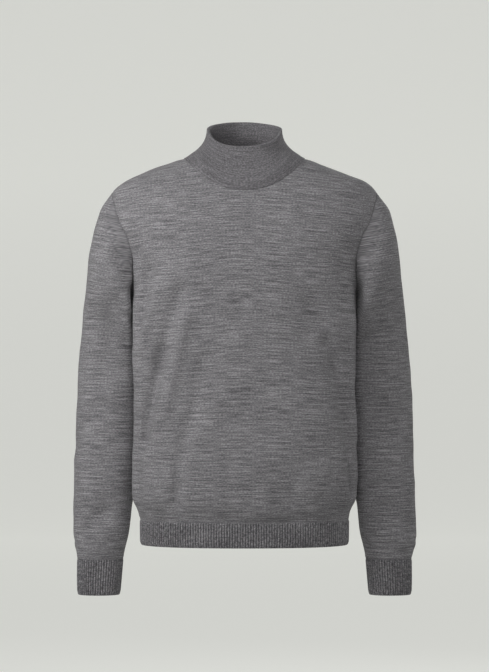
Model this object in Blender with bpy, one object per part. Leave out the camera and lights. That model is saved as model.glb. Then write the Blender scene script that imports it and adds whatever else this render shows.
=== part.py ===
"""Turtleneck sweater in fine jersey, filled out as if it were worn.

The front faces -Y, the wearer's left is +X and the origin is the middle of the neck hole at
the height of the shoulders. Lengths are in metres and angles ("turn") in degrees. On the body
a turn of 0 is the wearer's left side, 90 the middle of the front, 180 the right side and 270
the middle of the back. On a sleeve 0 is its front, 90 its outside, 180 its back and 270 the
side that faces the body. Each piece is a wall of cloth: a grid of points on its outer face,
the same grid moved in by the wall, and the edges between them.
"""

import bpy
import bmesh
import numpy as np

# ---- cloth and seams ------------------------------------------------------------------------
JERSEY_WALL = 0.0020
RIB_WALL = 0.0018
RIB_RISE = 0.0009
RIB_PITCH = 0.0045
SEAM_GAP = 0.0003

# ---- body -----------------------------------------------------------------------------------
UNDERARM_HEIGHT = -0.238
SHOULDER_POINT_HEIGHT = -0.057
HEM_SEAM_HEIGHT = -0.6245
FRONT_ROUNDNESS = 2.3
SIDE_SEAM_TURN_UNDERARM = -20.0
SIDE_SEAM_TURN_HEM = -6.0
HEM_BLOUSE_HEIGHT = 0.035

# Level sections of the body from the nape down to the hem. The section is widest at side_y.
BODY_COLUMNS = ("height", "half_width", "front_y", "back_y", "side_y", "back_roundness")
BODY_SECTIONS = (
    (0.0300, 0.0500, -0.044, 0.052, 0.006, 2.3),
    (0.0200, 0.0660, -0.050, 0.060, 0.006, 2.3),
    (0.0120, 0.0800, -0.055, 0.066, 0.006, 2.3),
    (0.0060, 0.0920, -0.059, 0.071, 0.006, 2.3),
    (0.0016, 0.1060, -0.0613, 0.0747, 0.006, 2.35),
    (-0.0002, 0.1140, -0.0622, 0.0765, 0.006, 2.4),
    (-0.0035, 0.1235, -0.0636, 0.0792, 0.006, 2.45),
    (-0.0070, 0.1320, -0.0653, 0.0822, 0.006, 2.48),
    (-0.0104, 0.1410, -0.067, 0.085, 0.006, 2.5),
    (-0.0244, 0.1775, -0.072, 0.093, 0.005, 2.6),
    (-0.0383, 0.2090, -0.078, 0.099, 0.004, 2.7),
    (-0.0570, 0.2300, -0.087, 0.104, 0.002, 2.8),
    (-0.0720, 0.2360, -0.094, 0.107, 0.000, 2.8),
    (-0.0900, 0.2375, -0.101, 0.110, -0.003, 2.8),
    (-0.1100, 0.2340, -0.108, 0.112, -0.006, 2.8),
    (-0.1300, 0.2240, -0.113, 0.113, -0.012, 2.8),
    (-0.1500, 0.2115, -0.116, 0.114, -0.019, 2.8),
    (-0.1750, 0.1985, -0.119, 0.113, -0.027, 2.75),
    (-0.2050, 0.1930, -0.121, 0.111, -0.034, 2.65),
    (-0.2380, 0.1920, -0.121, 0.107, -0.039, 2.5),
    (-0.3000, 0.1920, -0.119, 0.099, -0.042, 2.35),
    (-0.3800, 0.1910, -0.117, 0.094, -0.042, 2.3),
    (-0.4600, 0.1922, -0.1185, 0.097, -0.038, 2.3),
    (-0.5400, 0.1942, -0.1203, 0.1045, -0.028, 2.3),
    (-0.5800, 0.1940, -0.1170, 0.1080, -0.020, 2.3),
    (-0.5920, 0.1910, -0.1148, 0.1070, -0.017, 2.3),
    (-0.6020, 0.1860, -0.1117, 0.1040, -0.014, 2.3),
    (-0.6130, 0.1822, -0.1066, 0.0995, -0.011, 2.3),
    (-0.6245, 0.1808, -0.101, 0.096, -0.008, 2.3),
    (-0.6600, 0.1805, -0.100, 0.095, -0.006, 2.3),
    (-0.6672, 0.1785, -0.098, 0.093, -0.006, 2.3),
)

# The armhole seam, from the underarm up to the shoulder point.
ARMHOLE_COLUMNS = ("height", "front_turn", "back_turn")
ARMHOLE_SEAM = (
    (-0.2380, -20.0, -20.0),
    (-0.2260, -8.0, -27.0),
    (-0.2050, 5.0, -32.0),
    (-0.1775, 15.0, -34.5),
    (-0.1500, 22.5, -34.5),
    (-0.1300, 26.0, -33.5),
    (-0.1100, 25.0, -31.0),
    (-0.0880, 22.0, -26.0),
    (-0.0700, 16.0, -17.5),
    (-0.0605, 8.5, -9.0),
    (-0.0570, 0.0, 0.0),
)

# The neck hole, where the collar is joined.
NECK_HALF_WIDTH = 0.080
NECK_SIDE_HEIGHT = 0.012
NECK_FRONT_DROP = 0.048
NECK_BACK_RISE = 0.007
NECK_ROUNDNESS = 2.2

# ---- sleeves and cuffs ----------------------------------------------------------------------
CUFF_ROUNDNESS = 2.15
CAP_RINGS = 6
PLAIN_CAP_RINGS = 2
PLAIN_CUFF_RINGS = 2

# Rings of the left sleeve from the armhole to the cuff: the top point lies on its outside and
# the under point on the side that faces the body.
SLEEVE_COLUMNS = ("top_x", "top_z", "under_x", "under_z", "middle_y", "front_half", "back_half",
                  "roundness")
SLEEVE_RINGS = (
    (0.2300, -0.0570, 0.1830, -0.2380, 0.002, 0.0640, 0.0640, 2.20),
    (0.2400, -0.0690, 0.1878, -0.2392, 0.002, 0.0655, 0.0680, 2.45),
    (0.2500, -0.0850, 0.1910, -0.2440, 0.002, 0.0660, 0.0710, 2.65),
    (0.2590, -0.1120, 0.1922, -0.2560, 0.002, 0.0670, 0.0760, 2.75),
    (0.2675, -0.1530, 0.1905, -0.2780, 0.006, 0.0660, 0.0780, 2.65),
    (0.2745, -0.2090, 0.1865, -0.3120, 0.021, 0.0620, 0.0690, 2.45),
    (0.2815, -0.2600, 0.1805, -0.3450, 0.035, 0.0575, 0.0590, 2.25),
    (0.2875, -0.3150, 0.1770, -0.3800, 0.041, 0.0545, 0.0555, 2.15),
    (0.2922, -0.3750, 0.1760, -0.4220, 0.043, 0.0530, 0.0540, 2.15),
    (0.2950, -0.4350, 0.1770, -0.4650, 0.043, 0.0510, 0.0520, 2.15),
    (0.2970, -0.4950, 0.1815, -0.5150, 0.040, 0.0490, 0.0500, 2.15),
    (0.2988, -0.5550, 0.1900, -0.5650, 0.035, 0.0465, 0.0475, 2.15),
    (0.2998, -0.6050, 0.1985, -0.6100, 0.029, 0.0435, 0.0445, 2.15),
    (0.2997, -0.6420, 0.2015, -0.6440, 0.024, 0.0405, 0.0415, 2.15),
    (0.2978, -0.6680, 0.2055, -0.6685, 0.021, 0.0365, 0.0375, 2.15),
    (0.2943, -0.6810, 0.2085, -0.6815, 0.019, 0.0315, 0.0325, 2.15),
    (0.2919, -0.6945, 0.2118, -0.6945, 0.018, 0.0280, 0.0280, 2.15),
)

CUFF_COLUMNS = ("height", "middle_x", "half_width", "middle_y", "half_depth")
CUFF_RINGS = (
    (-0.6945, 0.2519, 0.0396, 0.0180, 0.0280),
    (-0.7490, 0.2541, 0.0371, 0.0165, 0.0262),
    (-0.7570, 0.2542, 0.0353, 0.0163, 0.0245),
)

# ---- collar ---------------------------------------------------------------------------------
RIM_HALF_WIDTH = 0.0655
RIM_HALF_DEPTH = 0.0620
RIM_MIDDLE_Y = -0.002
RIM_SIDE_HEIGHT = 0.0560
RIM_FRONT_DROP = 0.0364
RIM_FRONT_BEND = 1.0
RIM_BACK_RISE = 0.0150
RIM_BACK_BEND = 1.2
RIM_ROUNDNESS = 2.2
FOLD_RADIUS = 0.0018
FLAP_HALF_WIDTH = 0.1050
FLAP_SIDE_HEIGHT = 0.0020
FLAP_FRONT_DROP = 0.0590
FLAP_ROUNDNESS = 2.3
FLAP_CLEARANCE = 0.0009
FLAP_FALL = 0.026
FLAP_REACH = 1.0
FLAP_SWELL = 0.0005
FLAP_LAY = 0.0035
FLAP_LAY_FRONT = 0.0060
INNER_WALL_FALL = 0.022
INNER_WALL_SLOPE = 0.10

# ---- folds of the worn cloth ----------------------------------------------------------------
# Each row runs from its start to its end; a positive height is a ridge, a negative one a trough.
FOLD_COLUMNS = ("start_turn", "start", "end_turn", "end", "half_width", "height")
BODY_FOLD_RADIUS = 0.165
BODY_FOLDS = (
    (56.0, -0.250, 46.0, -0.320, 0.020, -0.0035),
    (46.0, -0.320, 28.0, -0.430, 0.021, -0.0095),
    (28.0, -0.430, 14.0, -0.570, 0.018, -0.0110),
    (20.0, -0.300, 9.0, -0.480, 0.013, 0.0040),
    (76.0, -0.300, 62.0, -0.420, 0.022, 0.0030),
    (147.0, -0.200, 161.0, -0.285, 0.018, -0.0110),
    (137.0, -0.226, 154.5, -0.331, 0.010, 0.0045),
    (118.0, -0.278, 131.5, -0.435, 0.012, 0.0055),
    (118.0, -0.455, 124.0, -0.590, 0.013, -0.0050),
    (106.0, -0.340, 114.0, -0.460, 0.016, -0.0035),
    (122.0, -0.235, 134.5, -0.331, 0.018, -0.0085),
    (134.5, -0.331, 156.0, -0.487, 0.020, -0.0155),
    (163.0, -0.450, 161.0, -0.565, 0.018, -0.0070),
    (104.0, -0.500, 74.0, -0.585, 0.032, -0.0035),
    (-38.0, -0.270, -58.0, -0.420, 0.018, -0.0060),
    (-58.0, -0.420, -44.0, -0.560, 0.018, -0.0065),
    (-84.0, -0.330, -78.0, -0.520, 0.022, 0.0045),
    (-66.0, -0.150, -82.0, -0.240, 0.024, 0.0030),
    (216.0, -0.260, 232.0, -0.400, 0.018, -0.0060),
    (226.0, -0.430, 214.0, -0.575, 0.017, -0.0065),
    (244.0, -0.360, 250.0, -0.540, 0.021, 0.0045),
)

SLEEVE_FOLD_RADIUS = 0.052
SLEEVE_FOLDS_LEFT = (
    (14.0, -0.190, 44.0, -0.300, 0.013, -0.0045),
    (-18.0, -0.240, 4.0, -0.400, 0.012, 0.0040),
    (66.0, -0.390, 26.0, -0.465, 0.015, -0.0040),
    (30.0, -0.500, 66.0, -0.560, 0.015, 0.0030),
    (150.0, -0.230, 120.0, -0.330, 0.016, -0.0045),
    (204.0, -0.390, 150.0, -0.480, 0.016, -0.0045),
    (8.0, -0.600, 62.0, -0.648, 0.013, -0.0040),
    (-30.0, -0.640, 34.0, -0.668, 0.010, 0.0025),
    (130.0, -0.600, 180.0, -0.655, 0.013, -0.0040),
)
SLEEVE_FOLDS_RIGHT = (
    (-8.0, -0.250, 16.0, -0.390, 0.014, -0.0045),
    (34.0, -0.220, 64.0, -0.330, 0.014, 0.0035),
    (18.0, -0.430, 72.0, -0.500, 0.015, -0.0040),
    (60.0, -0.520, 20.0, -0.585, 0.014, 0.0030),
    (160.0, -0.260, 125.0, -0.350, 0.016, -0.0045),
    (190.0, -0.440, 140.0, -0.520, 0.016, -0.0045),
    (-8.0, -0.612, 46.0, -0.650, 0.013, -0.0040),
    (140.0, -0.585, 185.0, -0.640, 0.013, -0.0040),
)

# ---- how finely the pieces are divided ------------------------------------------------------
YOKE_ROWS = 11
YOKE_LEVEL = 3.0
NECK_SPACES = 8
SHOULDER_SPACES_FRONT = 9
SHOULDER_SPACES_BACK = 6
PANEL_HEIGHTS = (-0.6245, -0.613, -0.602, -0.591, -0.574, -0.545, -0.505, -0.465, -0.425,
                 -0.385, -0.345, -0.305, -0.270)
HEM_HEIGHTS = (-0.6672, -0.6600, -0.6245)
COLLAR_WALL_SPACES = 4
COLLAR_FOLD_SPACES = 4
COLLAR_FLAP_SPACES = 6
FINE_STEPS = 180
SHARP_ANGLE = 50.0
TURN_STEP = 0.5
HEIGHT_STEP = 0.001
SHORTEST = 1e-12

# ---- finish: colour and roughness of each kind of cloth --------------------------------------
JERSEY_GREY = (0.175, 0.170, 0.178, 1.0)
RIB_GREY = (0.150, 0.146, 0.153, 1.0)
CLOTH_ROUGHNESS = 0.92


# ---- tables and curves ----------------------------------------------------------------------
def table_column(columns, rows, name):
    """One named column of a table, from its first row to its last."""
    return np.array([row[columns.index(name)] for row in rows])


def smooth_curve(known_at, values, at):
    """Cubic curve through values at rising known_at, without overshoot, read at any points."""
    known_at = np.asarray(known_at, dtype=float)
    values = np.asarray(values, dtype=float)
    spans = np.diff(known_at)
    rises = np.diff(values) / spans
    slopes = np.zeros_like(values)
    slopes[0] = rises[0]
    slopes[-1] = rises[-1]
    for index in range(1, len(values) - 1):
        before, after = rises[index - 1], rises[index]
        if before * after > 0.0:
            slopes[index] = 2.0 * before * after / (before + after)
    at = np.clip(np.asarray(at, dtype=float), known_at[0], known_at[-1])
    index = np.clip(np.searchsorted(known_at, at) - 1, 0, len(spans) - 1)
    span = spans[index]
    share = (at - known_at[index]) / span
    start_weight = (1.0 + 2.0 * share) * (1.0 - share) ** 2
    end_weight = share ** 2 * (3.0 - 2.0 * share)
    start_slope = share * (1.0 - share) ** 2 * span
    end_slope = share ** 2 * (share - 1.0) * span
    return (start_weight * values[index] + end_weight * values[index + 1]
            + start_slope * slopes[index] + end_slope * slopes[index + 1])


def body_value(name, height):
    """A column of the body's table at any height."""
    heights = table_column(BODY_COLUMNS, BODY_SECTIONS, "height")[::-1]
    values = table_column(BODY_COLUMNS, BODY_SECTIONS, name)[::-1]
    return smooth_curve(heights, values, height)


def signed_power(value, power):
    """A power that keeps the sign of its base."""
    return np.sign(value) * np.abs(value) ** power


def smooth_step(value):
    """0 up to 0, 1 from 1 on, and a soft rise between them."""
    value = np.clip(value, 0.0, 1.0)
    return value * value * (3.0 - 2.0 * value)


def unit(vectors):
    """Vectors of length 1."""
    return vectors / np.maximum(np.linalg.norm(vectors, axis=-1, keepdims=True), SHORTEST)


def share_along(points):
    """How far along a line each of its points lies, from 0 to 1."""
    lengths = np.linalg.norm(np.diff(points, axis=0), axis=1)
    along = np.concatenate(([0.0], np.cumsum(lengths)))
    return along / along[-1]


def even_steps(points, count):
    """Positions from 0 to 1 along a fine line of points that cut it into equal lengths."""
    positions = np.linspace(0.0, 1.0, len(points))
    return np.interp(np.linspace(0.0, 1.0, count), share_along(points), positions)


def fold_height(folds, turn, place, radius):
    """Height of the folds at a turn and a place along the tube: the highest ridge there and
    the deepest trough."""
    ridge = np.zeros(np.broadcast(turn, place).shape)
    trough = ridge.copy()
    for row in folds:
        fold = dict(zip(FOLD_COLUMNS, row))
        across = np.radians(np.mod(turn - fold["start_turn"] + 180.0, 360.0) - 180.0) * radius
        along = place - fold["start"]
        run_across = np.radians(fold["end_turn"] - fold["start_turn"]) * radius
        run_along = fold["end"] - fold["start"]
        share = (across * run_across + along * run_along) / (run_across ** 2 + run_along ** 2)
        inside = np.clip(share, 0.0, 1.0)
        gap = np.hypot(across - inside * run_across, along - inside * run_along)
        height = fold["height"] * np.exp(-(gap / fold["half_width"]) ** 2)
        ridge = np.maximum(ridge, height)
        trough = np.minimum(trough, height)
    return ridge + trough


# ---- the surface of the body ----------------------------------------------------------------
def body_base(turn, height):
    """Point of the body's outer surface without its folds."""
    radians = np.radians(turn)
    across = np.cos(radians)
    forward = np.sin(radians)
    front = forward >= 0.0
    power = 2.0 / np.where(front, FRONT_ROUNDNESS, body_value("back_roundness", height))
    side_y = body_value("side_y", height)
    depth = np.where(front, side_y - body_value("front_y", height),
                     body_value("back_y", height) - side_y)
    x = body_value("half_width", height) * signed_power(across, power)
    y = side_y - depth * signed_power(forward, power)
    return np.stack([x, y, height + 0.0 * x], axis=-1)


def body_normal(turn, height):
    """Direction straight out of the body's surface."""
    along_turn = body_base(turn + TURN_STEP, height) - body_base(turn - TURN_STEP, height)
    along_height = (body_base(turn, height + HEIGHT_STEP)
                    - body_base(turn, height - HEIGHT_STEP))
    return unit(np.cross(along_height, along_turn))


def body_point(turn, height):
    """Point of the body's outer surface with its folds, which die out at the hem seam."""
    fade = smooth_step((height - HEM_SEAM_HEIGHT) / HEM_BLOUSE_HEIGHT)
    fold = fold_height(BODY_FOLDS, turn, height, BODY_FOLD_RADIUS) * fade
    return body_base(turn, height) + body_normal(turn, height) * fold[..., None]


def body_outward(turn, height):
    """Direction straight out of the body's surface with its folds."""
    along_turn = body_point(turn + TURN_STEP, height) - body_point(turn - TURN_STEP, height)
    along_height = (body_point(turn, height + HEIGHT_STEP)
                    - body_point(turn, height - HEIGHT_STEP))
    return unit(np.cross(along_height, along_turn))


def turn_at(x, height, front):
    """Turn, on the left half, of the point of a section that lies at x."""
    roundness = FRONT_ROUNDNESS if front else body_value("back_roundness", height)
    share = np.clip(x / body_value("half_width", height), 0.0, 1.0)
    turn = np.degrees(np.arccos(share ** (roundness / 2.0)))
    return turn if front else -turn


def neck_height(x, front):
    """Height of the neck hole's edge at x."""
    share = np.abs(x) / NECK_HALF_WIDTH
    if front:
        return NECK_SIDE_HEIGHT - NECK_FRONT_DROP * (1.0 - share ** NECK_ROUNDNESS)
    return NECK_SIDE_HEIGHT + NECK_BACK_RISE * (1.0 - share ** 2.0)


def side_seam_turn(height):
    """Turn of the left side seam, which swings towards the middle of the side further down."""
    share = (height - HEM_SEAM_HEIGHT) / (UNDERARM_HEIGHT - HEM_SEAM_HEIGHT)
    share = np.clip(share, 0.0, 1.0)
    return SIDE_SEAM_TURN_HEM + (SIDE_SEAM_TURN_UNDERARM - SIDE_SEAM_TURN_HEM) * share


def armhole_edge(front, count):
    """Turns and heights of the armhole seam, evenly spaced from the underarm to the shoulder."""
    rows = np.arange(len(ARMHOLE_SEAM))
    fine = np.linspace(0.0, rows[-1], FINE_STEPS + 1)
    column = "front_turn" if front else "back_turn"
    heights = smooth_curve(rows, table_column(ARMHOLE_COLUMNS, ARMHOLE_SEAM, "height"), fine)
    turns = smooth_curve(rows, table_column(ARMHOLE_COLUMNS, ARMHOLE_SEAM, column), fine)
    steps = even_steps(body_base(turns, heights), count) * (len(fine) - 1)
    places = np.arange(len(fine))
    return np.interp(steps, places, turns), np.interp(steps, places, heights)


def top_edge(front):
    """Fine line of turns and heights, evenly spaced, from the middle of the neck hole to the
    shoulder point, and the share of it that lies along the neck hole."""
    neck_x = NECK_HALF_WIDTH * np.sin(np.linspace(0.0, np.pi / 2.0, FINE_STEPS))
    neck_heights = neck_height(neck_x, front)
    neck_turns = turn_at(neck_x, neck_heights, front)
    neck_turns[-1] = 0.0
    seam_heights = np.linspace(NECK_SIDE_HEIGHT, SHOULDER_POINT_HEIGHT, FINE_STEPS)[1:]
    turns = np.concatenate((neck_turns, 0.0 * seam_heights))
    heights = np.concatenate((neck_heights, seam_heights))
    along = share_along(body_base(turns, heights))
    even = np.linspace(0.0, 1.0, len(turns))
    neck_share = along[len(neck_x) - 1]
    return np.interp(even, along, turns), np.interp(even, along, heights), neck_share


def neck_edge(front):
    """Turns and heights of a quarter of the neck hole, from the middle to the shoulder seam."""
    turns, heights, neck_share = top_edge(front)
    shares = np.linspace(0.0, neck_share, NECK_SPACES + 1)
    along = np.linspace(0.0, 1.0, len(turns))
    return np.interp(shares, along, turns), np.interp(shares, along, heights)


def bottom_edge(front, shares):
    """Turns at the underarm's height from the middle to the side seam, at shares of the way."""
    middle = 90.0 if front else -90.0
    fine = np.linspace(middle, SIDE_SEAM_TURN_UNDERARM, FINE_STEPS + 1)
    return np.interp(shares, share_along(body_base(fine, UNDERARM_HEIGHT + 0.0 * fine)), fine)


def half_panel(front, shoulder_spaces):
    """Turns and heights of the left half of a body panel, from its hem to its top edge."""
    middle = 90.0 if front else -90.0
    top_turn, top_height, neck_share = top_edge(front)
    fine_shares = np.linspace(0.0, 1.0, len(top_turn))
    shares = np.concatenate((np.linspace(0.0, neck_share, NECK_SPACES + 1),
                             np.linspace(neck_share, 1.0, shoulder_spaces + 1)[1:]))
    bottom_turn = bottom_edge(front, fine_shares)
    side_turn, side_height = armhole_edge(front, YOKE_ROWS + 1)
    bottom_reach = (bottom_turn - middle) / (bottom_turn[-1] - middle)
    top_reach = (top_turn - middle) / (top_turn[-1] - middle)
    turns = []
    heights = []
    for height in PANEL_HEIGHTS:
        reach = (side_seam_turn(height) - middle) / (SIDE_SEAM_TURN_UNDERARM - middle)
        turns.append(middle + (np.interp(shares, fine_shares, bottom_turn) - middle) * reach)
        heights.append(np.full(len(shares), height))
    for row in range(YOKE_ROWS + 1):
        rise = row / YOKE_ROWS
        reach = (1.0 - rise) * bottom_reach + rise * top_reach
        row_turn = middle + (side_turn[row] - middle) * reach
        row_height = side_height[row] + (top_height - SHOULDER_POINT_HEIGHT) * rise ** YOKE_LEVEL
        along = share_along(body_base(row_turn, row_height))
        turns.append(np.interp(shares, along, row_turn))
        heights.append(np.interp(shares, along, row_height))
    return np.array(turns), np.array(heights)


def body_panel(front):
    """Turns and heights of the front or back panel, rows from the hem up."""
    shoulder_spaces = SHOULDER_SPACES_FRONT if front else SHOULDER_SPACES_BACK
    turns, heights = half_panel(front, shoulder_spaces)
    return (np.concatenate((180.0 - turns[:, :0:-1], turns), axis=1),
            np.concatenate((heights[:, :0:-1], heights), axis=1))


def armhole_loop(side, count):
    """Points of an armhole seam: up the front from the underarm, then down the back."""
    front_turn, front_height = armhole_edge(True, count)
    back_turn, back_height = armhole_edge(False, count)
    turns = np.concatenate((front_turn, back_turn[-2:0:-1]))
    heights = np.concatenate((front_height, back_height[-2:0:-1]))
    if side < 0.0:
        turns = 180.0 - turns
    return body_point(turns, heights), body_outward(turns, heights)


# ---- sleeves and cuffs ----------------------------------------------------------------------
def oval_ring(middle, outward, front, back, turns, roundness):
    """Ring of points round a middle, from its three half axes."""
    across = signed_power(np.sin(np.radians(turns)), 2.0 / roundness)[:, None]
    forward = signed_power(np.cos(np.radians(turns)), 2.0 / roundness)[:, None]
    depth = np.where(forward >= 0.0, forward * front, -forward * back)
    return middle + across * outward + depth


def sleeve_ring(row, turns):
    """Ring of the left sleeve from a row of its table, without folds."""
    value = dict(zip(SLEEVE_COLUMNS, row))
    top = np.array([value["top_x"], value["middle_y"], value["top_z"]])
    under = np.array([value["under_x"], value["middle_y"], value["under_z"]])
    front = np.array([0.0, -value["front_half"], 0.0])
    back = np.array([0.0, value["back_half"], 0.0])
    return oval_ring((top + under) / 2.0, (top - under) / 2.0, front, back, turns,
                     value["roundness"])


def grid_normals(points, closed):
    """Directions straight out of a grid of points whose columns turn against the clock."""
    if closed:
        along_columns = np.roll(points, -1, axis=1) - np.roll(points, 1, axis=1)
    else:
        along_columns = np.gradient(points, axis=1)
    along_rows = np.gradient(points, axis=0)
    return unit(np.cross(along_columns, along_rows))


def sleeve(side, folds):
    """Outer points of a sleeve, rows from the armhole down, columns round it."""
    count = YOKE_ROWS + 1
    loop, outward = armhole_loop(side, count)
    loop = loop * np.array([side, 1.0, 1.0])
    outward = outward * np.array([side, 1.0, 1.0])
    steps = np.linspace(0.0, 1.0, count)
    turns = np.concatenate((-90.0 + 180.0 * steps, (270.0 - 180.0 * steps)[-2:0:-1]))
    rest = loop - sleeve_ring(SLEEVE_RINGS[0], turns)
    rings = []
    for number, row in enumerate(SLEEVE_RINGS):
        cap = 1.0 - smooth_step(number / CAP_RINGS)
        rings.append(sleeve_ring(row, turns) + cap * rest)
    rings = np.array(rings)
    down = unit(rings[1] - rings[0])
    rings[0] = loop + SEAM_GAP * unit(outward + down)
    normals = -grid_normals(rings, True)
    numbers = np.arange(len(rings))[:, None]
    fade = (smooth_step((numbers - PLAIN_CAP_RINGS) / (CAP_RINGS - PLAIN_CAP_RINGS))
            * smooth_step((len(rings) - 1.0 - numbers) / PLAIN_CUFF_RINGS))
    height = fold_height(folds, turns[None, :], rings[..., 2], SLEEVE_FOLD_RADIUS) * fade
    return (rings + normals * height[..., None]) * np.array([side, 1.0, 1.0])


def cuff(side):
    """Outer points of a ribbed cuff, rows from its seam down, columns round it."""
    fine_turns = np.linspace(0.0, 360.0, 2 * FINE_STEPS + 1)
    rings = []
    ribs = 0
    for row in CUFF_RINGS:
        value = dict(zip(CUFF_COLUMNS, row))
        middle = np.array([value["middle_x"], value["middle_y"], value["height"]])
        outward = np.array([value["half_width"], 0.0, 0.0])
        front = np.array([0.0, -value["half_depth"], 0.0])
        fine = oval_ring(middle, outward, front, -front, fine_turns, CUFF_ROUNDNESS)
        if ribs == 0:
            girth = np.linalg.norm(np.diff(fine, axis=0), axis=1).sum()
            ribs = int(round(girth / RIB_PITCH))
        turns = even_steps(fine, 2 * ribs + 1)[:-1] * 360.0
        rings.append(oval_ring(middle, outward, front, -front, turns, CUFF_ROUNDNESS))
    return np.array(rings) * np.array([side, 1.0, 1.0])


# ---- hem ------------------------------------------------------------------------------------
def hem(front):
    """Turns and heights of half of the ribbed hem, rows from its lower edge up."""
    start = side_seam_turn(HEM_SEAM_HEIGHT)
    end = 180.0 - start
    if not front:
        start, end = end, 360.0 + start
    fine_turns = np.linspace(start, end, 2 * FINE_STEPS + 1)
    fine = body_base(fine_turns, HEM_SEAM_HEIGHT + 0.0 * fine_turns)
    girth = np.linalg.norm(np.diff(fine, axis=0), axis=1).sum()
    ribs = int(round(girth / RIB_PITCH))
    turns = []
    for height in HEM_HEIGHTS:
        fine = body_base(fine_turns, height + 0.0 * fine_turns)
        turns.append(start + even_steps(fine, 2 * ribs + 1) * (end - start))
    turns = np.array(turns)
    return turns, 0.0 * turns + np.array(HEM_HEIGHTS)[:, None]


# ---- collar ---------------------------------------------------------------------------------
def on_body(x, front, height):
    """Turn of the body's point at x and a height, on either half."""
    left_turn = turn_at(np.abs(x), height, front)
    return np.where(x >= 0.0, left_turn, 180.0 - left_turn)


def collar():
    """Middle surface of the folded collar, rows from the neck seam over the rim to the flap."""
    turns = np.linspace(0.0, 2.0 * np.pi, 4 * NECK_SPACES, endpoint=False)
    across = signed_power(np.cos(turns), 2.0 / RIM_ROUNDNESS)
    forward = signed_power(np.sin(turns), 2.0 / RIM_ROUNDNESS)
    front = forward >= 0.0

    front_turn, front_height = neck_edge(True)
    back_turn, back_height = neck_edge(False)
    neck_turn = np.concatenate((front_turn[:0:-1], (180.0 - front_turn)[:-1],
                                (180.0 - back_turn)[:0:-1], back_turn[:-1]))
    neck_z = np.concatenate((front_height[:0:-1], front_height[:-1],
                             back_height[:0:-1], back_height[:-1]))
    seam = body_point(neck_turn, neck_z)
    seam_outward = body_outward(neck_turn, neck_z)
    seam_run = np.roll(seam, -1, axis=0) - np.roll(seam, 1, axis=0)

    flap_x = FLAP_HALF_WIDTH * across
    drop = FLAP_FRONT_DROP * (1.0 - np.abs(across) ** FLAP_ROUNDNESS)
    flap_z = FLAP_SIDE_HEIGHT - np.where(front, drop, 0.0)
    flap_turn = np.where(front, on_body(flap_x, True, flap_z), on_body(flap_x, False, flap_z))
    lift = body_normal(flap_turn, flap_z)
    edge = body_point(flap_turn, flap_z) + lift * (FLAP_CLEARANCE + JERSEY_WALL / 2.0)

    fold_width = RIM_HALF_WIDTH - FOLD_RADIUS - JERSEY_WALL / 2.0
    fold_depth = RIM_HALF_DEPTH - FOLD_RADIUS - JERSEY_WALL / 2.0
    rim_z = RIM_SIDE_HEIGHT + np.where(front, -RIM_FRONT_DROP * np.abs(forward) ** RIM_FRONT_BEND,
                                       RIM_BACK_RISE * np.abs(forward) ** RIM_BACK_BEND)
    fold_z = rim_z - FOLD_RADIUS - JERSEY_WALL / 2.0
    fold = np.stack([fold_width * across, RIM_MIDDLE_Y - fold_depth * forward, fold_z], axis=-1)
    along = np.roll(fold, -1, axis=0) - np.roll(fold, 1, axis=0)
    outward = unit(np.stack([-along[:, 1], along[:, 0], 0.0 * fold_z], axis=-1))
    up = np.array([0.0, 0.0, 1.0])

    rows = []
    inner_top = fold - outward * FOLD_RADIUS
    base = (seam - seam_outward * JERSEY_WALL / 2.0
            + unit(np.cross(seam_run, seam_outward)) * SEAM_GAP)
    waist = inner_top - up * INNER_WALL_FALL + INNER_WALL_SLOPE * (seam - inner_top)
    for share in np.linspace(0.0, 1.0, COLLAR_WALL_SPACES + 1):
        rest = 1.0 - share
        rows.append(rest ** 2 * base + 2.0 * rest * share * waist + share ** 2 * inner_top)
    for angle in np.linspace(np.pi, 0.0, COLLAR_FOLD_SPACES + 1)[1:]:
        rows.append(fold + outward * FOLD_RADIUS * np.cos(angle) + up * FOLD_RADIUS * np.sin(angle))
    start = fold + outward * FOLD_RADIUS
    second = start - up * FLAP_FALL + outward * FLAP_SWELL
    lay = FLAP_LAY + FLAP_LAY_FRONT * np.maximum(forward, 0.0)
    third = edge + FLAP_REACH * (seam - edge) + lift * lay[:, None]
    for share in np.linspace(0.0, 1.0, COLLAR_FLAP_SPACES + 1)[1:]:
        rest = 1.0 - share
        rows.append(rest ** 3 * start + 3.0 * rest ** 2 * share * second
                    + 3.0 * rest * share ** 2 * third + share ** 3 * edge)
    rows = np.array(rows)
    normals = grid_normals(rows, True)
    normals[0] = -seam_outward
    return rows, normals


# ---- from grids to solids -------------------------------------------------------------------
def pull_edges(points, closed, bottom, top, sides):
    """Move the chosen edges of a grid in by half of the seam's gap."""
    moved = points.copy()
    if bottom:
        moved[0] += unit(points[1] - points[0]) * SEAM_GAP / 2.0
    if top:
        moved[-1] += unit(points[-2] - points[-1]) * SEAM_GAP / 2.0
    if sides and not closed:
        moved[:, 0] += unit(points[:, 1] - points[:, 0]) * SEAM_GAP / 2.0
        moved[:, -1] += unit(points[:, -2] - points[:, -1]) * SEAM_GAP / 2.0
    return moved


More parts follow.
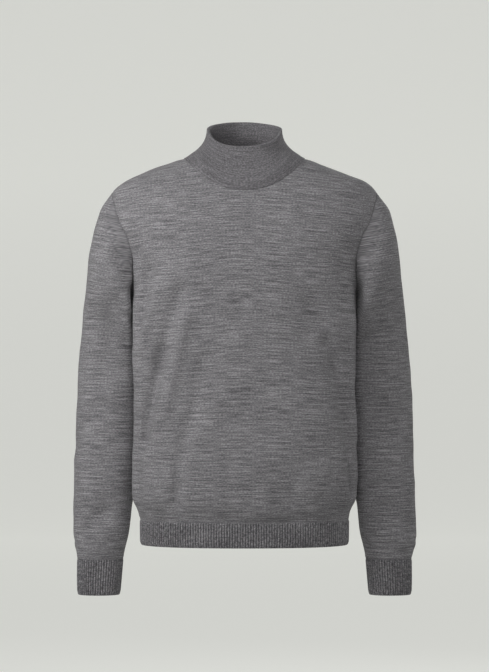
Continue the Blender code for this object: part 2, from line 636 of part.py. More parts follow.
def solid(name, outer, inner, closed, colour):
    """One closed body between two grids; the outer one may have a multiple of the columns."""
    step = outer.shape[1] // inner.shape[1] if closed else \
        (outer.shape[1] - 1) // (inner.shape[1] - 1)
    mesh = bmesh.new()
    outer_vertices = [[mesh.verts.new(point) for point in row] for row in outer]
    inner_vertices = [[mesh.verts.new(point) for point in row] for row in inner]
    rows = len(outer_vertices)

    def sheet(grid):
        columns = len(grid[0])
        for row in range(rows - 1):
            for column in range(columns if closed else columns - 1):
                after = (column + 1) % columns
                mesh.faces.new((grid[row][column], grid[row][after],
                                grid[row + 1][after], grid[row + 1][column]))

    sheet(outer_vertices)
    sheet(inner_vertices)
    for row in (0, rows - 1):
        outer_row, inner_row = outer_vertices[row], inner_vertices[row]
        for column in range(len(inner_row) if closed else len(inner_row) - 1):
            near, far = inner_row[column], inner_row[(column + 1) % len(inner_row)]
            rim = [outer_row[(column * step + offset) % len(outer_row)]
                   for offset in range(step + 1)]
            if step == 1:
                mesh.faces.new((near, rim[0], rim[1], far))
            else:
                mesh.faces.new((near, rim[0], rim[1]))
                mesh.faces.new((near, rim[1], far))
                mesh.faces.new((rim[1], rim[2], far))
    if not closed:
        for column, inner_column in ((0, 0), (-1, -1)):
            for row in range(rows - 1):
                mesh.faces.new((outer_vertices[row][column], outer_vertices[row + 1][column],
                                inner_vertices[row + 1][inner_column],
                                inner_vertices[row][inner_column]))
    bmesh.ops.recalc_face_normals(mesh, faces=mesh.faces)
    data = bpy.data.meshes.new(name)
    mesh.to_mesh(data)
    mesh.free()
    data.shade_smooth()
    data.set_sharp_from_angle(angle=np.radians(SHARP_ANGLE))
    data.materials.append(cloth_material(name + "_cloth", colour))
    piece = bpy.data.objects.new(name, data)
    bpy.context.scene.collection.objects.link(piece)
    return piece


def cloth_material(name, colour):
    """Plain matt cloth."""
    material = bpy.data.materials.new(name)
    material.use_nodes = True
    shader = material.node_tree.nodes["Principled BSDF"]
    shader.inputs["Base Color"].default_value = colour
    shader.inputs["Roughness"].default_value = CLOTH_ROUGHNESS
    shader.inputs["Metallic"].default_value = 0.0
    return material


def jersey_piece(name, outer, normals, closed):
    """A plain piece: its outer points and the same points moved in by the jersey's wall."""
    return solid(name, outer, outer - normals * JERSEY_WALL, closed, JERSEY_GREY)


def ribbed_piece(name, valleys, normals, closed):
    """A ribbed piece: every second outer column stands proud over a plain inside."""
    outer = valleys.copy()
    outer[:, 1::2] += normals[:, 1::2] * RIB_RISE
    inner = (valleys - normals * RIB_WALL)[:, ::2]
    return solid(name, outer, inner, closed, RIB_GREY)


def make_body():
    """Front and back panels and the two halves of the hem."""
    for name, front in (("front_panel", True), ("back_panel", False)):
        turns, heights = body_panel(front)
        outer = pull_edges(body_point(turns, heights), False, True, True, True)
        jersey_piece(name, outer, body_outward(turns, heights), False)
    for name, front in (("hem_front", True), ("hem_back", False)):
        turns, heights = hem(front)
        outer = pull_edges(body_base(turns, heights), False, False, True, True)
        ribbed_piece(name, outer, body_normal(turns, heights), False)


def make_sleeves():
    """Both sleeves with their cuffs."""
    for side, word, folds in ((1.0, "left", SLEEVE_FOLDS_LEFT), (-1.0, "right", SLEEVE_FOLDS_RIGHT)):
        outer = pull_edges(sleeve(side, folds), True, False, True, False)
        jersey_piece("sleeve_" + word, outer, -side * grid_normals(outer, True), True)
        outer = pull_edges(cuff(side), True, True, False, False)
        ribbed_piece("cuff_" + word, outer, -side * grid_normals(outer, True), True)


def make_collar():
    """The collar, a tube folded down over itself."""
    middle, normals = collar()
    solid("collar", middle + normals * JERSEY_WALL / 2.0, middle - normals * JERSEY_WALL / 2.0,
          True, JERSEY_GREY)


def main():
    for old in list(bpy.data.objects):
        bpy.data.objects.remove(old, do_unlink=True)
    make_body()
    make_sleeves()
    make_collar()


main()
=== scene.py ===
"""Looks of the turtleneck sweater: fine melange jersey with a ribbed hem and ribbed cuffs.

Each piece of cloth is a thin shell on the form of its solid, divided much more finely, with the
smaller creases of worn cloth added. The front faces -Y and the wearer's left is +X. On the body
a turn of 0 is the wearer's left side, 90 the middle of the front, 180 the right side and 270 the
middle of the back. On a sleeve 0 is its front, 90 its outside, 180 its back and 270 the side
that faces the body. The knit's own map is in metres: u runs along the courses, v up the wales.
"""

import bpy
import numpy as np
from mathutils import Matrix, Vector


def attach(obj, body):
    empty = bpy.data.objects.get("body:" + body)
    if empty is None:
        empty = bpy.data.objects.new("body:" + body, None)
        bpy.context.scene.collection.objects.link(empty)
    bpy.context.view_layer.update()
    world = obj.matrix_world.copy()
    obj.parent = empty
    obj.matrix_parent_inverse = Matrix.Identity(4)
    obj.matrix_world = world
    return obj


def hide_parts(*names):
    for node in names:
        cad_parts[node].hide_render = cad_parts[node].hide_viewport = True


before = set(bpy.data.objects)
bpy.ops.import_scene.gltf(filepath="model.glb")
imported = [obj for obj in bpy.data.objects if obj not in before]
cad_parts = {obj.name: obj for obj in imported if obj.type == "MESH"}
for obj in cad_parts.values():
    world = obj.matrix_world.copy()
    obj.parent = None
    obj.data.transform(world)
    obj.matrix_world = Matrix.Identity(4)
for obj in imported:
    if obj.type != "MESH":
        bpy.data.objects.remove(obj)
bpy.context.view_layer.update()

# ---- cloth and seams ------------------------------------------------------------------------
JERSEY_WALL = 0.0020
RIB_WALL = 0.0018
RIB_RISE = 0.0010
RIB_PITCH = 0.0045
RIB_VALLEY = 0.0006
RIB_ROUNDNESS = 2.6
HEM_PLAIN_END = 0.022
# Ribs grow to their height over the end's width, and have begun by this much at a free edge.
RIB_END_WIDTH = 0.0025
RIB_FREE_START = 0.0012
SEAM_GAP = 0.0003
SIDE_SEAM_DIP = 0.0006
ARMHOLE_DIP = 0.0004
HEM_DIP = 0.0001
CUFF_DIP = 0.0004
DIP_WIDTH = 0.0022
FLAP_EDGE_WALL = 0.0007
FLAP_EDGE_DROP = 0.0014
FLAP_EDGE_WIDTH = 0.020

# ---- body -----------------------------------------------------------------------------------
UNDERARM_HEIGHT = -0.238
SHOULDER_POINT_HEIGHT = -0.057
HEM_SEAM_HEIGHT = -0.6245
FRONT_ROUNDNESS = 2.3
SIDE_SEAM_TURN_UNDERARM = -20.0
SIDE_SEAM_TURN_HEM = -6.0
HEM_BLOUSE_HEIGHT = 0.035

BODY_COLUMNS = ("height", "half_width", "front_y", "back_y", "side_y", "back_roundness")
BODY_SECTIONS = (
    (0.0300, 0.0500, -0.044, 0.052, 0.006, 2.3),
    (0.0200, 0.0660, -0.050, 0.060, 0.006, 2.3),
    (0.0120, 0.0800, -0.055, 0.066, 0.006, 2.3),
    (0.0060, 0.0920, -0.059, 0.071, 0.006, 2.3),
    (0.0016, 0.1060, -0.0613, 0.0747, 0.006, 2.35),
    (-0.0002, 0.1140, -0.0622, 0.0765, 0.006, 2.4),
    (-0.0035, 0.1235, -0.0636, 0.0792, 0.006, 2.45),
    (-0.0070, 0.1320, -0.0653, 0.0822, 0.006, 2.48),
    (-0.0104, 0.1410, -0.067, 0.085, 0.006, 2.5),
    (-0.0244, 0.1775, -0.072, 0.093, 0.005, 2.6),
    (-0.0383, 0.2090, -0.078, 0.099, 0.004, 2.7),
    (-0.0570, 0.2300, -0.087, 0.104, 0.002, 2.8),
    (-0.0720, 0.2360, -0.094, 0.107, 0.000, 2.8),
    (-0.0900, 0.2375, -0.101, 0.110, -0.003, 2.8),
    (-0.1100, 0.2340, -0.108, 0.112, -0.006, 2.8),
    (-0.1300, 0.2240, -0.113, 0.113, -0.012, 2.8),
    (-0.1500, 0.2115, -0.116, 0.114, -0.019, 2.8),
    (-0.1750, 0.1985, -0.119, 0.113, -0.027, 2.75),
    (-0.2050, 0.1930, -0.121, 0.111, -0.034, 2.65),
    (-0.2380, 0.1920, -0.121, 0.107, -0.039, 2.5),
    (-0.3000, 0.1920, -0.119, 0.099, -0.042, 2.35),
    (-0.3800, 0.1910, -0.117, 0.094, -0.042, 2.3),
    (-0.4600, 0.1922, -0.1185, 0.097, -0.038, 2.3),
    (-0.5400, 0.1942, -0.1203, 0.1045, -0.028, 2.3),
    (-0.5800, 0.1940, -0.1170, 0.1080, -0.020, 2.3),
    (-0.5920, 0.1910, -0.1148, 0.1070, -0.017, 2.3),
    (-0.6020, 0.1860, -0.1117, 0.1040, -0.014, 2.3),
    (-0.6130, 0.1822, -0.1066, 0.0995, -0.011, 2.3),
    (-0.6245, 0.1808, -0.101, 0.096, -0.008, 2.3),
    (-0.6600, 0.1805, -0.100, 0.095, -0.006, 2.3),
    (-0.6672, 0.1785, -0.098, 0.093, -0.006, 2.3),
)

ARMHOLE_COLUMNS = ("height", "front_turn", "back_turn")
ARMHOLE_SEAM = (
    (-0.2380, -20.0, -20.0),
    (-0.2260, -8.0, -27.0),
    (-0.2050, 5.0, -32.0),
    (-0.1775, 15.0, -34.5),
    (-0.1500, 22.5, -34.5),
    (-0.1300, 26.0, -33.5),
    (-0.1100, 25.0, -31.0),
    (-0.0880, 22.0, -26.0),
    (-0.0700, 16.0, -17.5),
    (-0.0605, 8.5, -9.0),
    (-0.0570, 0.0, 0.0),
)

NECK_HALF_WIDTH = 0.080
NECK_SIDE_HEIGHT = 0.012
NECK_FRONT_DROP = 0.048
NECK_BACK_RISE = 0.007
NECK_ROUNDNESS = 2.2

# ---- sleeves and cuffs ----------------------------------------------------------------------
CUFF_ROUNDNESS = 2.15
CAP_RINGS = 6
PLAIN_CAP_RINGS = 2
PLAIN_CUFF_RINGS = 2

SLEEVE_COLUMNS = ("top_x", "top_z", "under_x", "under_z", "middle_y", "front_half", "back_half",
                  "roundness")
SLEEVE_RINGS = (
    (0.2300, -0.0570, 0.1830, -0.2380, 0.002, 0.0640, 0.0640, 2.20),
    (0.2400, -0.0690, 0.1878, -0.2392, 0.002, 0.0655, 0.0680, 2.45),
    (0.2500, -0.0850, 0.1910, -0.2440, 0.002, 0.0660, 0.0710, 2.65),
    (0.2590, -0.1120, 0.1922, -0.2560, 0.002, 0.0670, 0.0760, 2.75),
    (0.2675, -0.1530, 0.1905, -0.2780, 0.006, 0.0660, 0.0780, 2.65),
    (0.2745, -0.2090, 0.1865, -0.3120, 0.021, 0.0620, 0.0690, 2.45),
    (0.2815, -0.2600, 0.1805, -0.3450, 0.035, 0.0575, 0.0590, 2.25),
    (0.2875, -0.3150, 0.1770, -0.3800, 0.041, 0.0545, 0.0555, 2.15),
    (0.2922, -0.3750, 0.1760, -0.4220, 0.043, 0.0530, 0.0540, 2.15),
    (0.2950, -0.4350, 0.1770, -0.4650, 0.043, 0.0510, 0.0520, 2.15),
    (0.2970, -0.4950, 0.1815, -0.5150, 0.040, 0.0490, 0.0500, 2.15),
    (0.2988, -0.5550, 0.1900, -0.5650, 0.035, 0.0465, 0.0475, 2.15),
    (0.2998, -0.6050, 0.1985, -0.6100, 0.029, 0.0435, 0.0445, 2.15),
    (0.2997, -0.6420, 0.2015, -0.6440, 0.024, 0.0405, 0.0415, 2.15),
    (0.2978, -0.6680, 0.2055, -0.6685, 0.021, 0.0365, 0.0375, 2.15),
    (0.2943, -0.6810, 0.2085, -0.6815, 0.019, 0.0315, 0.0325, 2.15),
    (0.2919, -0.6945, 0.2118, -0.6945, 0.018, 0.0280, 0.0280, 2.15),
)

CUFF_COLUMNS = ("height", "middle_x", "half_width", "middle_y", "half_depth")
CUFF_RINGS = (
    (-0.6945, 0.2519, 0.0396, 0.0180, 0.0280),
    (-0.7490, 0.2541, 0.0371, 0.0165, 0.0262),
    (-0.7570, 0.2542, 0.0353, 0.0163, 0.0245),
)

# ---- collar ---------------------------------------------------------------------------------
RIM_HALF_WIDTH = 0.0655
RIM_HALF_DEPTH = 0.0620
RIM_MIDDLE_Y = -0.002
RIM_SIDE_HEIGHT = 0.0560
RIM_FRONT_DROP = 0.0364
RIM_FRONT_BEND = 1.0
RIM_BACK_RISE = 0.0150
RIM_BACK_BEND = 1.2
RIM_ROUNDNESS = 2.2
FOLD_RADIUS = 0.0018
FLAP_HALF_WIDTH = 0.1050
FLAP_SIDE_HEIGHT = 0.0020
FLAP_FRONT_DROP = 0.0590
FLAP_ROUNDNESS = 2.3
FLAP_CLEARANCE = 0.0009
FLAP_FALL = 0.026
FLAP_REACH = 1.0
FLAP_SWELL = 0.0005
FLAP_LAY = 0.0035
FLAP_LAY_FRONT = 0.0060
INNER_WALL_FALL = 0.022
INNER_WALL_SLOPE = 0.10

# ---- folds and creases ----------------------------------------------------------------------
# Each row runs from its start to its end; a positive height is a ridge, a negative one a trough.
FOLD_COLUMNS = ("start_turn", "start", "end_turn", "end", "half_width", "height")
BODY_FOLD_RADIUS = 0.165
BODY_FOLDS = (
    (56.0, -0.250, 46.0, -0.320, 0.020, -0.0035),
    (46.0, -0.320, 28.0, -0.430, 0.021, -0.0095),
    (28.0, -0.430, 14.0, -0.570, 0.018, -0.0110),
    (20.0, -0.300, 9.0, -0.480, 0.013, 0.0040),
    (76.0, -0.300, 62.0, -0.420, 0.022, 0.0030),
    (147.0, -0.200, 161.0, -0.285, 0.018, -0.0110),
    (137.0, -0.226, 154.5, -0.331, 0.010, 0.0045),
    (118.0, -0.278, 131.5, -0.435, 0.012, 0.0055),
    (118.0, -0.455, 124.0, -0.590, 0.013, -0.0050),
    (106.0, -0.340, 114.0, -0.460, 0.016, -0.0035),
    (122.0, -0.235, 134.5, -0.331, 0.018, -0.0085),
    (134.5, -0.331, 156.0, -0.487, 0.020, -0.0155),
    (163.0, -0.450, 161.0, -0.565, 0.018, -0.0070),
    (104.0, -0.500, 74.0, -0.585, 0.032, -0.0035),
    (-38.0, -0.270, -58.0, -0.420, 0.018, -0.0060),
    (-58.0, -0.420, -44.0, -0.560, 0.018, -0.0065),
    (-84.0, -0.330, -78.0, -0.520, 0.022, 0.0045),
    (-66.0, -0.150, -82.0, -0.240, 0.024, 0.0030),
    (216.0, -0.260, 232.0, -0.400, 0.018, -0.0060),
    (226.0, -0.430, 214.0, -0.575, 0.017, -0.0065),
    (244.0, -0.360, 250.0, -0.540, 0.021, 0.0045),
)
BODY_CREASES = (
    (6.0, -0.236, 34.0, -0.196, 0.0070, -0.0014),
    (10.0, -0.250, 46.0, -0.240, 0.0080, -0.0012),
    (174.0, -0.236, 146.0, -0.198, 0.0070, -0.0014),
    (170.0, -0.252, 136.0, -0.236, 0.0080, -0.0012),
    (142.0, -0.222, 150.0, -0.274, 0.0080, 0.0020),
    (150.0, -0.274, 165.0, -0.326, 0.0080, 0.0022),
    (121.5, -0.274, 128.0, -0.326, 0.0090, 0.0016),
    (128.0, -0.326, 136.0, -0.430, 0.0100, 0.0020),
    (136.0, -0.430, 146.0, -0.490, 0.0100, 0.0014),
    (111.0, -0.350, 116.0, -0.490, 0.0120, -0.0014),
    (47.0, -0.312, 45.0, -0.336, 0.0200, 0.0038),
    (132.0, -0.470, 120.0, -0.560, 0.0100, -0.0016),
    (40.0, -0.530, 52.0, -0.590, 0.0090, -0.0013),
    (96.0, -0.540, 88.0, -0.600, 0.0110, -0.0010),
    (66.0, -0.545, 70.0, -0.602, 0.0080, -0.0010),
    (116.0, -0.560, 110.0, -0.606, 0.0080, -0.0010),
    (-34.0, -0.236, -60.0, -0.214, 0.0080, -0.0014),
    (-40.0, -0.262, -70.0, -0.250, 0.0090, -0.0012),
    (214.0, -0.236, 240.0, -0.212, 0.0080, -0.0014),
    (220.0, -0.266, 252.0, -0.248, 0.0090, -0.0012),
    (-64.0, -0.540, -58.0, -0.600, 0.0100, -0.0012),
    (-100.0, -0.550, -104.0, -0.604, 0.0090, -0.0011),
    (246.0, -0.545, 238.0, -0.600, 0.0100, -0.0012),
)

SLEEVE_FOLD_RADIUS = 0.052
SLEEVE_FOLDS_LEFT = (
    (14.0, -0.190, 44.0, -0.300, 0.013, -0.0045),
    (-18.0, -0.240, 4.0, -0.400, 0.012, 0.0040),
    (66.0, -0.390, 26.0, -0.465, 0.015, -0.0040),
    (30.0, -0.500, 66.0, -0.560, 0.015, 0.0030),
    (150.0, -0.230, 120.0, -0.330, 0.016, -0.0045),
    (204.0, -0.390, 150.0, -0.480, 0.016, -0.0045),
    (8.0, -0.600, 62.0, -0.648, 0.013, -0.0040),
    (-30.0, -0.640, 34.0, -0.668, 0.010, 0.0025),
    (130.0, -0.600, 180.0, -0.655, 0.013, -0.0040),
)
SLEEVE_FOLDS_RIGHT = (
    (-8.0, -0.250, 16.0, -0.390, 0.014, -0.0045),
    (34.0, -0.220, 64.0, -0.330, 0.014, 0.0035),
    (18.0, -0.430, 72.0, -0.500, 0.015, -0.0040),
    (60.0, -0.520, 20.0, -0.585, 0.014, 0.0030),
    (160.0, -0.260, 125.0, -0.350, 0.016, -0.0045),
    (190.0, -0.440, 140.0, -0.520, 0.016, -0.0045),
    (-8.0, -0.612, 46.0, -0.650, 0.013, -0.0040),
    (140.0, -0.585, 185.0, -0.640, 0.013, -0.0040),
)
SLEEVE_CREASES = (
    (-60.0, -0.300, -10.0, -0.262, 0.0070, -0.0014),
    (-70.0, -0.330, -20.0, -0.306, 0.0070, -0.0012),
    (240.0, -0.300, 196.0, -0.266, 0.0080, -0.0014),
    (-40.0, -0.440, 30.0, -0.424, 0.0070, -0.0012),
    (-30.0, -0.470, 24.0, -0.482, 0.0080, -0.0013),
    (216.0, -0.436, 160.0, -0.444, 0.0080, -0.0012),
    (-20.0, -0.664, 60.0, -0.672, 0.0050, -0.0010),
    (70.0, -0.660, 140.0, -0.668, 0.0050, -0.0010),
    (170.0, -0.668, 250.0, -0.662, 0.0050, -0.0010),
)
# The right sleeve's creases, its welt included, lie at turns this much lower.
RIGHT_CREASE_SHIFT = 9.0
# A soft welt along the front of the underarm, where the right sleeve lies against the body.
UNDERARM_WELT = (
    (-24.0, -0.204, -31.0, -0.232, 0.0100, 0.0065),
    (-31.0, -0.232, -33.0, -0.262, 0.0110, 0.0065),
    (-33.0, -0.262, -31.0, -0.312, 0.0110, 0.0040),
)
# Side, word, folds and creases of each sleeve.
SLEEVES = (
    (1.0, "left", SLEEVE_FOLDS_LEFT, SLEEVE_CREASES),
    (-1.0, "right", SLEEVE_FOLDS_RIGHT, SLEEVE_CREASES + UNDERARM_WELT),
)
# On the collar the start and the end are measured up from the flap's free edge.
COLLAR_CREASES = (
    (22.0, 0.052, 46.0, 0.026, 0.0085, -0.0008),
    (36.0, 0.058, 58.0, 0.040, 0.0080, 0.0006),
    (150.0, 0.056, 128.0, 0.026, 0.0085, -0.0009),
    (164.0, 0.046, 146.0, 0.020, 0.0080, 0.0006),
    (206.0, 0.052, 236.0, 0.028, 0.0100, -0.0008),
    (334.0, 0.050, 306.0, 0.026, 0.0100, -0.0008),
)
COLLAR_RADIUS = 0.080

# Slow unevenness of hand-dressed cloth: waves along a direction, wavelength and height in metres.
WAVE_COLUMNS = ("x", "y", "z", "wavelength", "phase", "height")
CLOTH_WAVES = (
    (0.9, 0.2, 0.4, 0.083, 0.3, 0.00034),
    (-0.5, 0.3, 0.8, 0.067, 1.9, 0.00030),
    (0.2, 0.9, -0.5, 0.059, 4.1, 0.00026),
    (0.8, 0.1, 0.6, 0.176, 0.9, 0.00075),
    (-0.8, 0.2, 0.5, 0.142, 3.7, 0.00060),
    (0.7, -0.4, -0.6, 0.047, 2.6, 0.00020),
    (0.1, 0.3, 1.0, 0.041, 5.2, 0.00018),
    (1.0, 0.5, 0.1, 0.036, 0.8, 0.00014),
)
CALM_WIDTH = 0.010
CALM_UNDER_FLAP = 0.020
GATHER_HEIGHT = 0.0006
GATHER_REACH = 0.022
GATHER_START = 3.0  # in widths of the seam's dip
GATHER_COUNTS = (37.0, 52.0, 71.0)

# ---- how finely the pieces are divided ------------------------------------------------------
YOKE_ROWS = 52
YOKE_LEVEL = 3.0
NECK_SPACES = 34
SHOULDER_SPACES_FRONT = 42
SHOULDER_SPACES_BACK = 42
LOWER_ROWS = 104
RINGS_PER_ROW = 9
COLUMNS_PER_RIB = 8
HEM_ROWS = 18
CUFF_ROWS = 24
COLLAR_WALL_SPACES = 14
COLLAR_FOLD_SPACES = 10
COLLAR_FLAP_SPACES = 26
FINE_STEPS = 720
SHARP_ANGLE = 50.0
TURN_STEP = 0.5
HEIGHT_STEP = 0.001
SHORTEST = 1e-12

# ---- seams and stitches ---------------------------------------------------------------------
LINK_SPACING = 0.0022
LINK_LENGTH = 0.0019
LINK_WIDTH = 0.0007
LINK_LEAN = 0.45
LINK_SEGMENTS = 6
LINK_RINGS = 4
ARMHOLE_SHARES = np.linspace(0.0, 1.0, 161)
CUFF_LINK_SPACING = 0.0023
CUFF_LINK_LENGTH = 0.0025
CUFF_LINK_WIDTH = 0.0011
CUFF_LINK_LEAN = 0.75
WELT_FROM_EDGE = 0.0052
WELT_DEPTH = 0.0004
WELT_RISE = 0.0002
WELT_WIDTH = 0.0010
COLLAR_WAVE_SHARE = 0.6
COURSE_HANG = 0.10
COURSE_HANG_REACH = 0.45
COURSE_HANG_MIDDLE = 0.03
WALE_LEAN_CAP = 0.24
WALE_LEAN_CUFF = 0.03
WALE_LEAN_REACH = 0.45
WALE_LEAN_SHOULDER = 2.0

# ---- knit and colours -----------------------------------------------------------------------
KNIT_MAP = "Knit"
WALE_WIDTH = 0.0016
COURSE_HEIGHT = 0.0012
RIB_COURSE_HEIGHT = 0.0017
JERSEY_DARK = (0.088, 0.085, 0.091, 1.0)
JERSEY_MIDDLE = (0.178, 0.173, 0.181, 1.0)
JERSEY_LIGHT = (0.320, 0.312, 0.322, 1.0)
# The collar's colours are the jersey's at about 0.7 of their brightness: partly a tighter knit,
# partly painted shade on the whole collar.
COLLAR_SHADED_DARK = (0.064, 0.061, 0.065, 1.0)
COLLAR_SHADED_MIDDLE = (0.126, 0.121, 0.128, 1.0)
COLLAR_SHADED_LIGHT = (0.240, 0.232, 0.242, 1.0)
RIB_DARK = (0.073, 0.071, 0.076, 1.0)
RIB_MIDDLE = (0.157, 0.152, 0.160, 1.0)
RIB_LIGHT = (0.303, 0.296, 0.305, 1.0)
COLLAR_STREAKS = 0.55
CLOTH_ROUGHNESS = 0.92
CLOTH_SHINE = 0.25
FUZZ = 0.12
FUZZ_ROUGHNESS = 0.55
# Painted shade in the rib valleys: how much their colour darkens at the bottom, and how narrowly.
VALLEY_PAINTED_SHADE = 0.55
VALLEY_SHARPNESS = 3.0
STITCH_SLANT = 1.6
COURSE_SHARE = 0.5
FIBRE_SHARE = 1.2
BUMP_STRENGTH = 0.5
BUMP_DISTANCE = 0.00022
NOISE_ROUGHNESS = 0.6
YARN_GRAIN = 420.0
YARN_STOPS = ((0.3, 0.7), (0.7, 1.3))

# Noise along and across the courses in metres, its detail and place. A melange also gives each
# one's weight, and whether it is a streak, which shows less on the collar.
FIBRE_NOISE = (0.0011, 0.0007, 2.0, (1.3, 6.1))
JERSEY_MELANGE = (
    (0.0033, 0.0017, 0.0, (0.0, 0.0), 0.82, False),
    (0.0220, 0.0018, 0.0, (5.3, 1.9), 0.70, True),
    (0.0650, 0.0018, 0.0, (2.7, 8.1), 0.72, True),
    (0.1100, 0.0600, 1.0, (7.0, 4.0), 0.15, False),
)
RIB_MELANGE = (
    (0.0042, 0.0052, 2.0, (0.0, 0.0), 1.5, False),
    (0.0024, 0.0022, 1.0, (3.1, 7.7), 1.5, False),
    (0.0600, 0.0500, 1.0, (9.0, 2.0), 0.4, False),
)

# ---- stage, lights and camera ---------------------------------------------------------------
BACKDROP_COLOUR = (0.460, 0.462, 0.446, 1.0)
BACKDROP_GLOW = (0.524, 0.530, 0.504, 1.0)
FLOOR_HEIGHT = -1.25
FLOOR_REACH = 7.0
FLOOR_HALF_WIDTH = 12.0
SWEEP_RADIUS = 1.8
SWEEP_SPACES = 24
WALL_TOP = 9.0
GLOW_START = 0.9
GLOW_WHOLE = 1.9
ROOM_COLOUR = (1.0, 1.0, 1.0, 1.0)
ROOM_LIGHT = 0.02
SWEATER_MIDDLE = (0.0, 0.0, -0.3)
# The soft boxes: name, place, width and power.
LIGHTS = (
    ("front", (0.0, -3.2, -0.3), 1.6, 24.0),
    ("above", (0.0, -1.41, 1.385), 1.0, 14.0),
    ("left", (-1.40, -0.96, 0.32), 0.8, 22.5),
    ("right", (3.09, 0.0, 0.528), 1.6, 23.0),
    ("back", (0.75, 2.2, 0.7), 1.3, 13.0),
)
CAMERA_PLACE = (0.0001, -4.2, -0.306)
FILM_HEIGHT = 36.0
VIEW_HEIGHT = 1.1693


# ---- tables and curves ----------------------------------------------------------------------
def table_column(columns, rows, name):
    """One named column of a table, from its first row to its last."""
    return np.array([row[columns.index(name)] for row in rows])


def smooth_curve(known_at, values, at):
    """Cubic curve through values at rising known_at, without overshoot, read at any points."""
    known_at = np.asarray(known_at, dtype=float)
    values = np.asarray(values, dtype=float)
    spans = np.diff(known_at)
    rises = np.diff(values) / spans
    slopes = np.zeros_like(values)
    slopes[0] = rises[0]
    slopes[-1] = rises[-1]
    for index in range(1, len(values) - 1):
        before, after = rises[index - 1], rises[index]
        if before * after > 0.0:
            slopes[index] = 2.0 * before * after / (before + after)
    at = np.clip(np.asarray(at, dtype=float), known_at[0], known_at[-1])
    index = np.clip(np.searchsorted(known_at, at) - 1, 0, len(spans) - 1)
    span = spans[index]
    share = (at - known_at[index]) / span
    start_weight = (1.0 + 2.0 * share) * (1.0 - share) ** 2
    end_weight = share ** 2 * (3.0 - 2.0 * share)
    start_slope = share * (1.0 - share) ** 2 * span
    end_slope = share ** 2 * (share - 1.0) * span
    return (start_weight * values[index] + end_weight * values[index + 1]
            + start_slope * slopes[index] + end_slope * slopes[index + 1])


def body_value(name, height):
    """A column of the body's table at any height."""
    heights = table_column(BODY_COLUMNS, BODY_SECTIONS, "height")[::-1]
    values = table_column(BODY_COLUMNS, BODY_SECTIONS, name)[::-1]
    return smooth_curve(heights, values, height)


def signed_power(value, power):
    """A power that keeps the sign of its base."""
    return np.sign(value) * np.abs(value) ** power


def smooth_step(value):
    """0 up to 0, 1 from 1 on, and a soft rise between them."""
    value = np.clip(value, 0.0, 1.0)
    return value * value * (3.0 - 2.0 * value)


def unit(vectors):
    """Vectors of length 1."""
    return vectors / np.maximum(np.linalg.norm(vectors, axis=-1, keepdims=True), SHORTEST)


def share_along(points):
    """How far along a line each of its points lies, from 0 to 1."""
    lengths = np.linalg.norm(np.diff(points, axis=0), axis=1)
    along = np.concatenate(([0.0], np.cumsum(lengths)))
    return along / along[-1]


def distance_along(points, axis):
    """Distance walked over a grid of points up its rows, axis 0, or along its columns, axis 1."""
    first = np.take(points, [0], axis=axis)
    steps = np.linalg.norm(np.diff(points, axis=axis, prepend=first), axis=-1)
    return np.cumsum(steps, axis=axis)


def rib_count(line):
    """Whole number of ribs along a fine line of points."""
    return int(round(np.linalg.norm(np.diff(line, axis=0), axis=1).sum() / RIB_PITCH))


def rib_girth(rows, columns):
    """Distance along a ribbed piece at each of its columns, the same in every row."""
    return np.broadcast_to(RIB_PITCH / COLUMNS_PER_RIB * np.arange(columns), (rows, columns))


def even_steps(points, count):
    """Positions from 0 to 1 along a fine line of points that cut it into equal lengths."""
    positions = np.linspace(0.0, 1.0, len(points))
    return np.interp(np.linspace(0.0, 1.0, count), share_along(points), positions)


def fine_ends(count):
    """count + 1 even positions from 0 to 1, with the first and last space cut in three."""
    even = np.linspace(0.0, 1.0, count + 1)
    step = even[1]
    return np.concatenate(([0.0, step / 3.0, step / 1.5], even[1:-1],
                           [1.0 - step / 1.5, 1.0 - step / 3.0, 1.0]))


def fold_height(folds, turn, place, radius):
    """Height of the folds at a turn and a place along the tube: the highest ridge there and
    the deepest trough."""
    ridge = np.zeros(np.broadcast(turn, place).shape)
    trough = ridge.copy()
    for row in folds:
        fold = dict(zip(FOLD_COLUMNS, row))
        across = np.radians(np.mod(turn - fold["start_turn"] + 180.0, 360.0) - 180.0) * radius
        along = place - fold["start"]
        run_across = np.radians(fold["end_turn"] - fold["start_turn"]) * radius
        run_along = fold["end"] - fold["start"]
        share = (across * run_across + along * run_along) / (run_across ** 2 + run_along ** 2)
        inside = np.clip(share, 0.0, 1.0)
        gap = np.hypot(across - inside * run_across, along - inside * run_along)
        height = fold["height"] * np.exp(-(gap / fold["half_width"]) ** 2)
        ridge = np.maximum(ridge, height)
        trough = np.minimum(trough, height)
    return ridge + trough


def cloth_waves(points):
    """Slow unevenness of the cloth at points in space."""
    total = 0.0
    for row in CLOTH_WAVES:
        wave = dict(zip(WAVE_COLUMNS, row))
        way = np.array([wave["x"], wave["y"], wave["z"]])
        place = points @ (way / np.linalg.norm(way)) / wave["wavelength"]
        total = total + wave["height"] * np.sin(2.0 * np.pi * place + wave["phase"])
    return total


# ---- the surface of the body ----------------------------------------------------------------
def body_base(turn, height):
    """Point of the body's outer surface without its folds."""
    radians = np.radians(turn)
    across = np.cos(radians)
    forward = np.sin(radians)
    front = forward >= 0.0
    power = 2.0 / np.where(front, FRONT_ROUNDNESS, body_value("back_roundness", height))
    side_y = body_value("side_y", height)
    depth = np.where(front, side_y - body_value("front_y", height),
                     body_value("back_y", height) - side_y)
    x = body_value("half_width", height) * signed_power(across, power)
    y = side_y - depth * signed_power(forward, power)
    return np.stack([x, y, height + 0.0 * x], axis=-1)


def way_out(surface, turn, height):
    """Direction straight out of a surface that is given at turns and heights."""
    along_turn = surface(turn + TURN_STEP, height) - surface(turn - TURN_STEP, height)
    along_height = surface(turn, height + HEIGHT_STEP) - surface(turn, height - HEIGHT_STEP)
    return unit(np.cross(along_height, along_turn))


